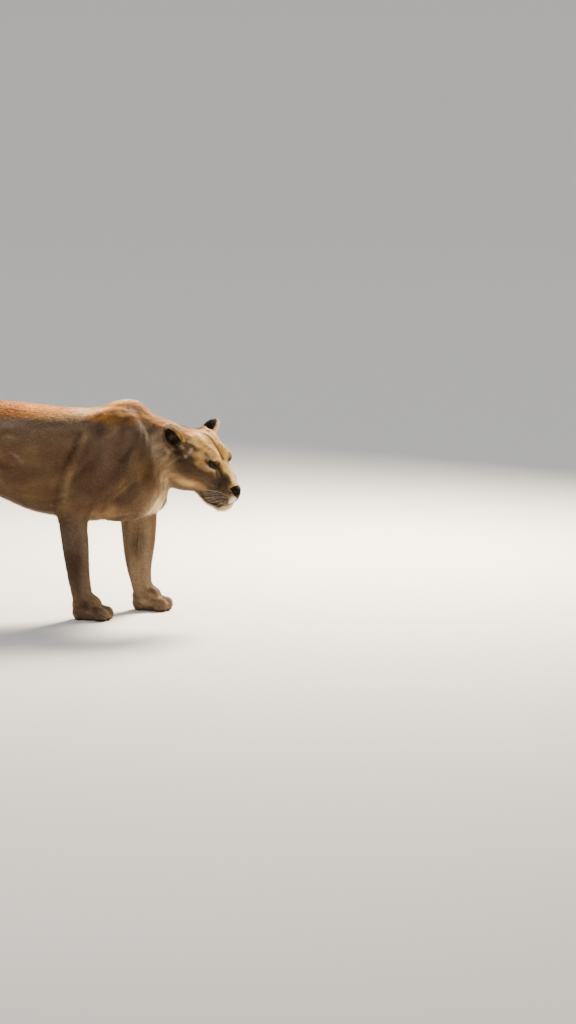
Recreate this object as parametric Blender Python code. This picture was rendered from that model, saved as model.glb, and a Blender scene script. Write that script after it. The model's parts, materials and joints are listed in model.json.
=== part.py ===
"""A life-size lioness, standing in mid-stride with her head low and turned to her right.

Metres, +X forward, +Y to her left, +Z up. Her flesh is modelled whole, from lofted and round masses that a
voxel remesh joins and smoothing blends, and then parted with thin cuts where a person would name its parts.
"""

import math

import bmesh
import bpy
import numpy as np
from mathutils import Matrix, Vector

# Driving dimensions.
GAP = 0.0004  # between neighbouring solids
SOLE = 0.004  # the paws are cut flat this far above their lowest fur
LEFT, RIGHT = 1, -1  # signs of Y

VOXEL, EAR_VOXEL, NOSE_VOXEL = 0.004, 0.0024, 0.002  # of the remeshes that join masses
SMOOTHING_ROUNDS = 50  # over the body
FIRMEST = 0.2  # the share of that smoothing which the face and paws take
FACE_REACH, FACE_FADE = 0.16, 0.08  # how far from the middle of the face it holds, and how far it fades over
PAW_HEIGHT, PAW_FADE = 0.07, 0.06
BLENDED_TRIANGLES = 60000  # kept before the cuts
MARGIN = 0.02  # each piece is thinned with this much of its neighbours, so that cut edges still meet
RING_SIDES = 28
STEPS_BETWEEN_STATIONS = 5

# The head's own frame has its origin at the skull's pivot on the neck, +X to the nose and +Z to the crown.
HEAD_PIVOT = Vector((0.266, -0.045, 0.735))
HEAD_YAW, HEAD_PITCH, HEAD_ROLL = math.radians(-28), math.radians(28), math.radians(8)
HEAD = Matrix.Translation(HEAD_PIVOT) @ Matrix.Rotation(HEAD_YAW, 4, "Z")
HEAD @= Matrix.Rotation(HEAD_PITCH, 4, "Y") @ Matrix.Rotation(HEAD_ROLL, 4, "X")

# Lengthwise masses: each station is (x, y, z of the centre line, half width, height above it, depth below).
TRUNK = (
    (0.188, 0, 0.565, 0.045, 0.080, 0.080),  # breast
    (0.162, 0, 0.590, 0.090, 0.160, 0.142),
    (0.100, 0, 0.640, 0.122, 0.200, 0.216),
    (0.000, 0, 0.660, 0.145, 0.235, 0.235),  # between the shoulders
    (-0.080, 0, 0.655, 0.160, 0.237, 0.245),
    (-0.160, 0, 0.650, 0.175, 0.232, 0.250),  # girth
    (-0.280, 0, 0.665, 0.190, 0.225, 0.245),
    (-0.410, 0, 0.685, 0.193, 0.220, 0.235),  # last rib
    (-0.530, 0, 0.715, 0.178, 0.200, 0.210),  # waist
    (-0.650, 0, 0.745, 0.158, 0.170, 0.185),
    (-0.770, 0, 0.765, 0.148, 0.150, 0.165),  # hips
    (-0.870, 0, 0.770, 0.125, 0.125, 0.145),
    (-0.940, 0, 0.765, 0.075, 0.085, 0.100),  # under the tail
)
NECK = (
    (-0.080, 0.000, 0.700, 0.120, 0.200, 0.160),
    (0.000, 0.000, 0.700, 0.122, 0.222, 0.160),  # withers
    (0.060, 0.000, 0.700, 0.122, 0.213, 0.160),
    (0.120, -0.002, 0.690, 0.118, 0.172, 0.152),
    (0.185, -0.012, 0.685, 0.110, 0.150, 0.142),
    (0.240, -0.028, 0.675, 0.100, 0.138, 0.140),  # throat
    (0.290, -0.045, 0.665, 0.090, 0.134, 0.130),
    (0.330, -0.060, 0.650, 0.070, 0.120, 0.110),
)
# The tail's centre line and its radius there.
TAIL = (
    (-0.860, 0.000, 0.858, 0.040),
    (-0.950, 0.000, 0.845, 0.036),
    (-1.030, 0.005, 0.770, 0.028),
    (-1.070, 0.015, 0.640, 0.023),
    (-1.085, 0.030, 0.480, 0.019),
    (-1.100, 0.045, 0.330, 0.017),
    (-1.135, 0.060, 0.220, 0.019),
    (-1.190, 0.070, 0.165, 0.031),  # tuft
    (-1.250, 0.075, 0.150, 0.027),
    (-1.300, 0.078, 0.155, 0.007),
)
# Upright masses: (x, y, z, half width, front, back). Y is for a left limb and is mirrored for a right one.
FORELEG = {
    RIGHT: (
        (-0.020, 0.060, 0.892, 0.020, 0.050, 0.060),  # top of the shoulder blade
        (-0.030, 0.085, 0.860, 0.040, 0.090, 0.120),
        (-0.010, 0.115, 0.780, 0.052, 0.110, 0.160),
        (0.000, 0.132, 0.700, 0.056, 0.115, 0.180),
        (-0.040, 0.138, 0.620, 0.054, 0.140, 0.200),
        (-0.120, 0.139, 0.555, 0.051, 0.130, 0.155),
        (-0.190, 0.138, 0.500, 0.050, 0.100, 0.104),  # elbow
        (-0.213, 0.134, 0.420, 0.047, 0.068, 0.068),
        (-0.206, 0.128, 0.310, 0.044, 0.063, 0.061),
        (-0.198, 0.124, 0.230, 0.041, 0.055, 0.056),
        (-0.189, 0.122, 0.165, 0.042, 0.050, 0.054),  # wrist
        (-0.178, 0.122, 0.090, 0.043, 0.045, 0.045),
    ),
    LEFT: (
        (-0.030, 0.060, 0.895, 0.020, 0.050, 0.060),
        (-0.020, 0.085, 0.850, 0.040, 0.090, 0.110),
        (0.010, 0.115, 0.770, 0.052, 0.110, 0.140),
        (0.035, 0.132, 0.690, 0.056, 0.105, 0.150),
        (0.040, 0.140, 0.610, 0.056, 0.100, 0.140),
        (0.035, 0.140, 0.540, 0.054, 0.092, 0.115),
        (0.043, 0.138, 0.470, 0.051, 0.090, 0.096),
        (0.050, 0.132, 0.380, 0.048, 0.080, 0.086),
        (0.051, 0.126, 0.290, 0.044, 0.072, 0.078),
        (0.049, 0.122, 0.220, 0.041, 0.062, 0.067),
        (0.052, 0.120, 0.165, 0.042, 0.053, 0.058),
        (0.062, 0.120, 0.090, 0.044, 0.045, 0.045),
    ),
}
HIND_LEG = {
    RIGHT: (
        (-0.800, 0.060, 0.870, 0.030, 0.090, 0.080),
        (-0.790, 0.085, 0.830, 0.050, 0.130, 0.120),
        (-0.780, 0.105, 0.760, 0.066, 0.160, 0.150),  # hip
        (-0.760, 0.120, 0.680, 0.070, 0.150, 0.160),
        (-0.720, 0.128, 0.600, 0.066, 0.120, 0.160),
        (-0.690, 0.132, 0.530, 0.058, 0.085, 0.140),  # knee
        (-0.718, 0.130, 0.460, 0.052, 0.076, 0.110),
        (-0.762, 0.126, 0.390, 0.043, 0.064, 0.085),
        (-0.798, 0.122, 0.320, 0.036, 0.054, 0.070),
        (-0.822, 0.120, 0.265, 0.033, 0.044, 0.055),  # hock
        (-0.815, 0.118, 0.200, 0.030, 0.036, 0.040),
        (-0.800, 0.117, 0.140, 0.032, 0.036, 0.038),
        (-0.785, 0.116, 0.080, 0.038, 0.040, 0.040),
    ),
    LEFT: (
        (-0.805, 0.060, 0.870, 0.030, 0.090, 0.080),
        (-0.800, 0.085, 0.825, 0.050, 0.130, 0.120),
        (-0.795, 0.105, 0.750, 0.066, 0.150, 0.145),
        (-0.785, 0.120, 0.670, 0.070, 0.140, 0.150),
        (-0.765, 0.128, 0.590, 0.066, 0.115, 0.150),
        (-0.765, 0.132, 0.520, 0.058, 0.085, 0.130),
        (-0.813, 0.130, 0.450, 0.052, 0.076, 0.105),
        (-0.877, 0.126, 0.385, 0.043, 0.066, 0.083),
        (-0.932, 0.122, 0.325, 0.037, 0.058, 0.068),
        (-0.965, 0.120, 0.275, 0.033, 0.044, 0.054),
        (-0.962, 0.118, 0.205, 0.030, 0.036, 0.040),
        (-0.950, 0.117, 0.140, 0.032, 0.036, 0.038),
        (-0.935, 0.116, 0.080, 0.038, 0.040, 0.040),
    ),
}
# Where each wrist or ankle stands over the floor: (x, y).
FOREPAW_AT = {RIGHT: (-0.178, 0.122), LEFT: (0.062, 0.120)}
HINDPAW_AT = {RIGHT: (-0.785, 0.116), LEFT: (-0.935, 0.116)}

# Round masses of the body, on both sides: (x, y, z) and (length, width, height), all as radii.
BODY_MASSES = (
    ((-0.020, 0.072, 0.503), (0.15, 0.094, 0.097)),  # muscle beside the breastbone
    ((0.055, 0.090, 0.575), (0.10, 0.078, 0.14)),  # in front of the upper arm
    ((-0.860, 0.065, 0.800), (0.09, 0.060, 0.08)),  # rump
    ((-0.905, 0.060, 0.740), (0.05, 0.045, 0.09)),  # seat bone
    ((-0.640, 0.100, 0.620), (0.10, 0.055, 0.08)),  # flank fold
)

# The skull with the upper lips, then the lower jaw, in the head's frame, as stations of a lengthwise mass.
SKULL = (
    (-0.035, 0, -0.010, 0.062, 0.066, 0.070),
    (0.020, 0, -0.005, 0.084, 0.084, 0.090),
    (0.070, 0, -0.010, 0.096, 0.094, 0.100),  # between the ears
    (0.115, 0, -0.020, 0.090, 0.088, 0.100),
    (0.155, 0, -0.030, 0.071, 0.077, 0.100),  # eyes
    (0.190, 0, -0.050, 0.060, 0.075, 0.094),
    (0.230, 0, -0.065, 0.050, 0.063, 0.080),  # bridge of the nose
    (0.265, 0, -0.078, 0.040, 0.054, 0.061),
    (0.290, 0, -0.086, 0.032, 0.040, 0.038),
    (0.303, 0, -0.082, 0.018, 0.020, 0.022),  # upper lip
)
JAW = (
    (0.030, 0, -0.090, 0.064, 0.050, 0.050),
    (0.100, 0, -0.100, 0.066, 0.050, 0.060),
    (0.160, 0, -0.112, 0.056, 0.045, 0.056),
    (0.207, 0, -0.125, 0.045, 0.040, 0.056),
    (0.245, 0, -0.130, 0.038, 0.036, 0.046),
    (0.278, 0, -0.128, 0.028, 0.022, 0.029),  # chin
    (0.293, 0, -0.126, 0.011, 0.008, 0.014),
)
HEAD_MASSES = (
    ((0.070, 0.060, -0.055), (0.072, 0.044, 0.078)),  # chewing muscle
    ((0.120, 0.070, -0.028), (0.056, 0.030, 0.036)),  # cheekbone
    ((0.050, 0.042, 0.038), (0.070, 0.046, 0.046)),  # temple
    ((0.115, 0.036, 0.030), (0.060, 0.032, 0.038)),  # forehead, with a furrow down its middle
    ((0.160, 0.045, 0.026), (0.027, 0.026, 0.019)),  # brow
    ((0.244, 0.031, -0.100), (0.050, 0.029, 0.042)),  # whisker pad
    ((0.205, 0.019, -0.034), (0.058, 0.024, 0.032)),  # side of the nose
)
EYE_AT, EYE_RADIUS = Vector((0.159, 0.056, 0.017)), 0.0185
NOSE_AT, NOSE_RADII = Vector((0.279, 0, -0.063)), (0.026, 0.028, 0.023)
NOSE_WING_AT, NOSE_WING_RADII = Vector((0.270, 0.025, -0.062)), (0.021, 0.014, 0.015)

MID_FACE = Vector((0.160, 0, 0))

# An ear is a cup, whose frame has its origin at its root and +Z to its tip, and which opens to +X.
EAR_OUTSIDE = ((0, 0, 0.050), (0.030, 0.045, 0.064))  # centre and radii
EAR_HOLLOW = ((0.020, 0, 0.060), (0.030, 0.037, 0.054))
EAR_ROOT = {RIGHT: Vector((0.012, 0.082, 0.012)), LEFT: Vector((0.018, 0.078, 0.008))}
# Which way each ear's tip points and which way it opens, in the head's frame. The left one is pricked.
EAR_WAYS = {
    RIGHT: ((-0.080, -0.052, 0.076), (0.690, -0.630, 0.250)),
    LEFT: ((-0.020, 0.085, 0.056), (0.300, 0.850, 0.090)),
}

# A paw's masses from its wrist or ankle: (x, y, z) and radii. The toes differ in reach.
FOREPAW_MASSES = (
    ((0.018, 0, 0.066), (0.066, 0.051, 0.052)),
    ((0.042, 0, 0.038), (0.064, 0.056, 0.038)),
    ((-0.012, 0, 0.036), (0.036, 0.042, 0.036)),  # heel
)
HINDPAW_MASSES = (
    ((0.018, 0, 0.062), (0.060, 0.044, 0.046)),
    ((0.044, 0, 0.036), (0.062, 0.049, 0.036)),
    ((-0.010, 0, 0.034), (0.033, 0.036, 0.034)),
)
TOE_SPREAD = (-1, -0.34, 0.34, 1)  # across the paw, as shares of its half width at the toes
TOE_REACH = (0.076, 0.096, 0.096, 0.076)
TOE_RADII = (0.036, 0.0205, 0.033)
TOES_HALF_WIDTH = {"forepaw": 0.047, "hindpaw": 0.041}

# The blocks that each piece is cut out of the whole with: its name, lowest and highest corner, the frame that
# the block stands in, and the triangles that the piece keeps.
NECK_CUT = Matrix.Translation((0.147, 0, 0.700)) @ Matrix.Rotation(math.radians(-17), 4, "Y")
HEAD_CUT = HEAD @ Matrix.Translation((0, 0, -0.020)) @ Matrix.Rotation(math.radians(-14), 4, "Y")
JAW_CUT = HEAD @ Matrix.Translation((0.165, 0, -0.118)) @ Matrix.Rotation(math.radians(12), 4, "Y")
LIMB_LEAN = math.radians(8)  # of the plane that a limb's top is parted from the trunk by
LEANS_FROM = {"upper_foreleg": 0.400, "thigh": 0.440}  # the height that the plane leans from
PIECES = (
    ("jaw", (-0.100, -0.200, -0.100), (0.300, 0.200, 0.000), JAW_CUT, 280),
    ("head", (0.000, -0.300, -0.350), (0.500, 0.300, 0.300), HEAD_CUT, 1200),
    ("neck", (0.000, -0.300, -0.350), (0.300, 0.300, 0.350), NECK_CUT, 400),
    ("tail_tip", (-1.400, -0.020, 0.050), (-1.050, 0.120, 0.330), Matrix(), 200),
    ("tail_middle", (-1.400, -0.050, 0.330), (-1.030, 0.085, 0.610), Matrix(), 110),
    ("tail_base", (-1.400, -0.060, 0.610), (-0.975, 0.060, 0.950), Matrix(), 130),
)
# For a left limb: the name, how far ahead and behind, from which inner side, between which heights, how far
# its block leans forward, in degrees, and its triangles. Lengths are from the wrist or ankle, or for a top
# piece from the elbow or knee.
LIMB_PIECES = {
    "fore": (
        ("forepaw", 0.200, 0.110, 0.030, (-0.100, 0.120), 0, 330),
        ("lower_foreleg", 0.120, 0.160, 0.050, (0.120, 0.400), 0, 170),
        ("upper_foreleg", 0.360, 0.110, 0.075, (0.300, 0.960), 17, 270),
    ),
    "hind": (
        ("hindpaw", 0.200, 0.100, 0.030, (-0.100, 0.110), 0, 320),
        ("shank", 0.260, 0.160, 0.040, (0.110, 0.440), 0, 220),
        ("thigh", 0.090, 0.300, 0.075, (0.440, 0.960), 0, 300),
    ),
}
ELBOW_AT = {RIGHT: -0.200, LEFT: 0.015}
KNEE_AT = {RIGHT: -0.690, LEFT: -0.765}
WHOLE_TRIANGLES = 4200  # that the whole keeps where the trunk is what is left of it
EAR_TRIANGLES, NOSE_TRIANGLES = 220, 180


def clear_scene():
    for obj in list(bpy.data.objects):
        bpy.data.objects.remove(obj, do_unlink=True)


def finish_material(name, colour, roughness):
    """A plain Principled material."""
    made = bpy.data.materials.new(name)
    made.use_nodes = True
    shader = made.node_tree.nodes["Principled BSDF"]
    shader.inputs["Base Color"].default_value = (*colour, 1)
    shader.inputs["Roughness"].default_value = roughness
    return made


def new_object(name, shape):
    """Links an object whose mesh comes from a bmesh, which is freed."""
    mesh = bpy.data.meshes.new(name)
    shape.to_mesh(mesh)
    shape.free()
    obj = bpy.data.objects.new(name, mesh)
    bpy.context.scene.collection.objects.link(obj)
    return obj


def copy_of(obj, name):
    made = obj.copy()
    made.data = obj.data.copy()
    made.name = name
    bpy.context.scene.collection.objects.link(made)
    return made


def drop(*objects):
    for obj in objects:
        bpy.data.objects.remove(obj)


def between_stations(stations):
    """The rows with smooth ones between them (Catmull-Rom), so that few stations give a flowing profile."""
    rows = np.array(stations, float)
    rows = np.vstack([2 * rows[0] - rows[1], rows, 2 * rows[-1] - rows[-2]])
    found = []
    for a, b, c, d in zip(rows, rows[1:], rows[2:], rows[3:], strict=False):
        for t in np.arange(STEPS_BETWEEN_STATIONS) / STEPS_BETWEEN_STATIONS:
            bend = (2 * a - 5 * b + 4 * c - d) * t**2 + (3 * b - a - 3 * c + d) * t**3
            found.append(b + ((c - a) * t + bend) / 2)
    return np.array([*found, rows[-2]])


def skin_rings(shape, rings):
    """Closes rows of points, a ring each, into one mass with flat ends."""
    rings = [[shape.verts.new(point) for point in ring] for ring in rings]
    faces = []
    for near, far in zip(rings, rings[1:], strict=False):
        for i in range(RING_SIDES):
            j = (i + 1) % RING_SIDES
            faces.append(shape.faces.new((near[i], near[j], far[j], far[i])))
    faces += [shape.faces.new(rings[0][::-1]), shape.faces.new(rings[-1])]
    bmesh.ops.recalc_face_normals(shape, faces=faces)


def around_ring():
    """The cosine and sine of each point's angle round a ring."""
    angles = [i * 2 * math.pi / RING_SIDES for i in range(RING_SIDES)]
    return [(math.cos(angle), math.sin(angle)) for angle in angles]


def add_loft(shape, stations, reach_way, sign=LEFT):
    """Adds a mass through stations of (x, y, z, half width, one reach, other reach).

    Each ring lies in the plane of Y and reach_way: the first reach goes that way and the other goes back.
    """
    rings = []
    for x, y, z, half_width, ahead, behind in between_stations(stations):
        ring = []
        for c, s in around_ring():
            reach = s * (ahead if s > 0 else behind)
            ring.append(Vector((x, sign * y + half_width * c, z)) + Vector(reach_way) * reach)
        rings.append(ring)
    skin_rings(shape, rings)


def add_tube(shape, stations):
    """Adds a round mass through stations of (x, y, z, radius), with its rings square to its path."""
    rows = between_stations(stations)
    rings = []
    for row, along in zip(rows, np.gradient(rows[:, :3], axis=0), strict=True):
        side = Vector((0, 1, 0))
        over = Vector(along).cross(side).normalized()
        ring = [Vector(row[:3]) + (side * c + over * s) * row[3] for c, s in around_ring()]
        rings.append(ring)
    skin_rings(shape, rings)


def add_round(shape, centre, radii, place=Matrix()):
    """Adds an ellipsoid in a frame."""
    matrix = place @ Matrix.Translation(centre) @ Matrix.Diagonal((*radii, 1))
    bmesh.ops.create_icosphere(shape, subdivisions=4, radius=1, matrix=matrix)


def add_pairs(shape, masses, place=Matrix()):
    for (x, y, z), radii in masses:
        add_round(shape, (x, y, z), radii, place)
        add_round(shape, (x, -y, z), radii, place)


def add_paw(shape, at, sign, masses, half_width):
    """Adds a paw's round masses and its four toes, which point forwards and splay a little."""
    place = Matrix.Translation((at[0], sign * at[1], 0))
    for centre, radii in masses:
        add_round(shape, centre, radii, place)
    for spread, reach in zip(TOE_SPREAD, TOE_REACH, strict=True):
        turn = Matrix.Rotation(math.radians(9 * spread), 4, "Z")
        centre = (reach, spread * half_width, TOE_RADII[2] - 0.002)
        add_round(shape, (0, 0, 0), TOE_RADII, place @ Matrix.Translation(centre) @ turn)


def with_modifiers(obj, *settings):
    """The object after modifiers, given as (type, {property: value}), are applied to its mesh."""
    for kind, values in settings:
        modifier = obj.modifiers.new(kind.title(), kind)
        for key, value in values.items():
            setattr(modifier, key, value)
    mesh = bpy.data.meshes.new_from_object(obj.evaluated_get(bpy.context.evaluated_depsgraph_get()))
    obj.modifiers.clear()
    obj.data = mesh
    return obj


def thinned(obj, triangles):
    """The object with about this many triangles."""
    now = sum(len(face.vertices) - 2 for face in obj.data.polygons)
    return with_modifiers(obj, ("TRIANGULATE", {}), ("DECIMATE", {"ratio": min(1, triangles / now)}))


def weigh(obj, name, weight_at):
    """Gives the object a vertex group whose weight is a function of place."""
    group = obj.vertex_groups.new(name=name)
    for vertex in obj.data.vertices:
        group.add([vertex.index], weight_at(vertex.co), "REPLACE")


def boolean(obj, other, operation):
    return with_modifiers(obj, ("BOOLEAN", {"operation": operation, "object": other, "solver": "EXACT"}))


def grown(obj, by):
    """A copy a little larger all round, to cut a neighbour with."""
    return with_modifiers(copy_of(obj, "cutter"), ("DISPLACE", {"strength": by, "mid_level": 0}))


def keep_side(shape, point, normal):
    """Keeps what lies on the side of a plane that its normal points to, and closes the cut."""
    everything = shape.verts[:] + shape.edges[:] + shape.faces[:]
    cut = bmesh.ops.bisect_plane(
        shape, geom=everything, dist=1e-7, plane_co=point, plane_no=normal, clear_inner=True
    )
    rim = [piece for piece in cut["geom_cut"] if isinstance(piece, bmesh.types.BMEdge)]
    if rim:
        bmesh.ops.triangle_fill(shape, use_beauty=True, use_dissolve=False, edges=rim, normal=-normal)


def near_block(obj, name, low, high, frame):
    """A copy of what lies in a block of a frame."""
    shape = bmesh.new()
    shape.from_mesh(obj.data)
    for axis in range(3):
        way = frame.to_3x3().col[axis]
        for corner, normal in ((low, way), (high, -way)):
            keep_side(shape, frame.translation + way * corner[axis], normal)
    bmesh.ops.recalc_face_normals(shape, faces=shape.faces[:])
    return new_object(name, shape)


def block(low, high, frame):
    """A box between two corners in a frame, to cut with."""
    size = high - low
    shape = bmesh.new()
    place = frame @ Matrix.Translation((low + high) / 2) @ Matrix.Diagonal((*size, 1))
    bmesh.ops.create_cube(shape, size=1, matrix=place)
    return new_object("cutter", shape)


def take_out(whole, name, low, high, frame, triangles, others):
    """What lies in a block and in none of the others, thinned by itself, and the block to part it with."""
    low, high = Vector(low), Vector(high)
    room, half_gap = Vector((MARGIN,) * 3), Vector((GAP / 2,) * 3)
    piece = thinned(near_block(whole, name, low - room, high + room, frame), triangles)
    tight = block(low + half_gap, high - half_gap, frame)
    boolean(piece, tight, "INTERSECT")
    drop(tight)
    for other in others:
        boolean(piece, other, "DIFFERENCE")
    return piece, block(low - half_gap, high + half_gap, frame)


def limb_blocks():
    """The name, corners, frame and triangles of each piece of a limb."""
    found = []
    for kind, feet, joints in (("fore", FOREPAW_AT, ELBOW_AT), ("hind", HINDPAW_AT, KNEE_AT)):
        for side, sign in (("left", LEFT), ("right", RIGHT)):
            for name, ahead, behind, inner, (bottom, top), forward, triangles in LIMB_PIECES[kind]:
                at_trunk = name in LEANS_FROM
                x = joints[sign] if at_trunk else feet[sign][0]
                inward = -sign * LIMB_LEAN if at_trunk else 0
                frame = Matrix.Translation((x, sign * inner, LEANS_FROM.get(name, bottom)))
                frame @= Matrix.Rotation(math.radians(forward), 4, "Y") @ Matrix.Rotation(inward, 4, "X")
                across = (0, 0.3) if sign == LEFT else (-0.3, 0)
                low = (-behind, across[0], bottom - frame.translation.z)
                high = (ahead, across[1], top - frame.translation.z)
                found.append((f"{name}_{side}", low, high, frame, triangles))
    return found


def softness(place):
    """The share of the smoothing that a place takes: little on the face and paws, to keep their modelling."""
    off_face = ((place - HEAD @ MID_FACE).length - FACE_REACH) / FACE_FADE
    off_paws = (place.z - PAW_HEIGHT) / PAW_FADE
    return FIRMEST + (1 - FIRMEST) * min(1, max(0, off_face)) * min(1, max(0, off_paws))


def whole_flesh():
    """All of her flesh but the ears and nose as one closed surface."""
    shape = bmesh.new()
    add_loft(shape, TRUNK, (0, 0, 1))
    add_loft(shape, NECK, (0, 0, 1))
    add_tube(shape, TAIL)
    add_pairs(shape, BODY_MASSES)
    for sign in (LEFT, RIGHT):
        add_loft(shape, FORELEG[sign], (1, 0, 0), sign)
        add_loft(shape, HIND_LEG[sign], (1, 0, 0), sign)
        add_paw(shape, FOREPAW_AT[sign], sign, FOREPAW_MASSES, TOES_HALF_WIDTH["forepaw"])
        add_paw(shape, HINDPAW_AT[sign], sign, HINDPAW_MASSES, TOES_HALF_WIDTH["hindpaw"])
    body = new_object("whole", shape)
    shape = bmesh.new()
    add_loft(shape, SKULL, (0, 0, 1))
    add_loft(shape, JAW, (0, 0, 1))
    add_pairs(shape, HEAD_MASSES)
    shape.transform(HEAD)
    shape.from_mesh(body.data)
    drop(body)
    whole = with_modifiers(new_object("whole", shape), ("REMESH", {"mode": "VOXEL", "voxel_size": VOXEL}))
    weigh(whole, "soft", softness)
    rounds = {"factor": 0.5, "iterations": SMOOTHING_ROUNDS, "vertex_group": "soft"}
    return thinned(with_modifiers(whole, ("SMOOTH", rounds)), BLENDED_TRIANGLES)


def ear(sign):
    """A cup of even wall."""
    tip, opening = (Vector(way).normalized() for way in EAR_WAYS[sign])
    across = tip.cross(opening).normalized()
    turn = Matrix((across.cross(tip), across, tip)).transposed().to_4x4()
    root = Vector((EAR_ROOT[sign].x, sign * EAR_ROOT[sign].y, EAR_ROOT[sign].z))
    place = HEAD @ Matrix.Translation(root) @ turn
    name = "ear_left" if sign == LEFT else "ear_right"
    shape = bmesh.new()
    add_round(shape, *EAR_OUTSIDE, place)
    outside = new_object(name, shape)
    shape = bmesh.new()
    add_round(shape, *EAR_HOLLOW, place)
    hollow = new_object("cutter", shape)
    boolean(outside, hollow, "DIFFERENCE")
    drop(hollow)
    remesh = ("REMESH", {"mode": "VOXEL", "voxel_size": EAR_VOXEL})
    return thinned(with_modifiers(outside, remesh, ("SMOOTH", {"iterations": 3})), EAR_TRIANGLES)


def eye(sign):
    shape = bmesh.new()
    centre = HEAD @ Vector((EYE_AT.x, sign * EYE_AT.y, EYE_AT.z))
    bmesh.ops.create_uvsphere(
        shape, u_segments=14, v_segments=8, radius=EYE_RADIUS, matrix=Matrix.Translation(centre)
    )
    return new_object("eye_left" if sign == LEFT else "eye_right", shape)


def nose():
    """The bare pad at the muzzle's end, with a wing on each side."""
    shape = bmesh.new()
    add_round(shape, NOSE_AT, NOSE_RADII, HEAD)
    for sign in (LEFT, RIGHT):
        wing = Vector((NOSE_WING_AT.x, sign * NOSE_WING_AT.y, NOSE_WING_AT.z))
        add_round(shape, wing, NOSE_WING_RADII, HEAD)
    remesh = ("REMESH", {"mode": "VOXEL", "voxel_size": NOSE_VOXEL})
    made = with_modifiers(new_object("nose", shape), remesh, ("SMOOTH", {"iterations": 2}))
    return thinned(made, NOSE_TRIANGLES)


def cut_by(obj, *others):
    """Cuts an object back to a thin gap from others, which keep their shape."""
    for other in others:
        cutter = grown(other, GAP)
        boolean(obj, cutter, "DIFFERENCE")
        drop(cutter)


def lioness():
    """Every piece, by name."""
    whole = whole_flesh()
    pieces, blocks = {}, []
    for name, *where in (*PIECES, *limb_blocks()):
        pieces[name], cutter = take_out(whole, name, *where, blocks)
        blocks.append(cutter)
    pieces["trunk"] = thinned(copy_of(whole, "trunk"), WHOLE_TRIANGLES)
    for cutter in blocks:
        boolean(pieces["trunk"], cutter, "DIFFERENCE")
    drop(whole, *blocks)
    for name in pieces:
        if "paw" in name:
            shape = bmesh.new()
            shape.from_mesh(pieces[name].data)
            keep_side(shape, Vector((0, 0, SOLE)), Vector((0, 0, 1)))
            bmesh.ops.recalc_face_normals(shape, faces=shape.faces[:])
            shape.to_mesh(pieces[name].data)
            shape.free()
    for made in (eye(LEFT), eye(RIGHT), nose()):
        pieces[made.name] = made
    cut_by(pieces["head"], pieces["eye_left"], pieces["eye_right"], pieces["nose"])
    for made in (ear(LEFT), ear(RIGHT)):
        cut_by(made, pieces["head"], pieces["neck"])
        pieces[made.name] = made
    return pieces


def stand_at_origin(objects):
    """Moves every mesh so that the middle of the whole box's bottom is the origin."""
    corners = np.array([vertex.co for obj in objects for vertex in obj.data.vertices])
    low, high = corners.min(axis=0), corners.max(axis=0)
    middle = Vector(((low[0] + high[0]) / 2, (low[1] + high[1]) / 2, low[2]))
    for obj in objects:
        obj.data.transform(Matrix.Translation(-middle))
        obj.data.update()
    print("moved by", -middle, "size", high - low)


def main():
    clear_scene()
    pieces = lioness()
    stand_at_origin(list(pieces.values()))
    coat = finish_material("coat", (0.45, 0.29, 0.15), 0.9)
    pale = finish_material("pale_coat", (0.62, 0.50, 0.36), 0.9)
    dark = finish_material("dark_coat", (0.05, 0.035, 0.03), 0.9)
    eyes = finish_material("eye", (0.45, 0.24, 0.05), 0.1)
    leather = finish_material("nose_leather", (0.06, 0.04, 0.04), 0.5)
    special = {"eye_left": eyes, "eye_right": eyes, "nose": leather, "tail_tip": dark, "jaw": pale}
    for name, obj in pieces.items():
        obj.data.materials.clear()
        obj.data.materials.append(special.get(name, coat))
        obj.data.shade_smooth()
        obj.data.set_sharp_from_angle(angle=math.radians(40))


main()
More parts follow.
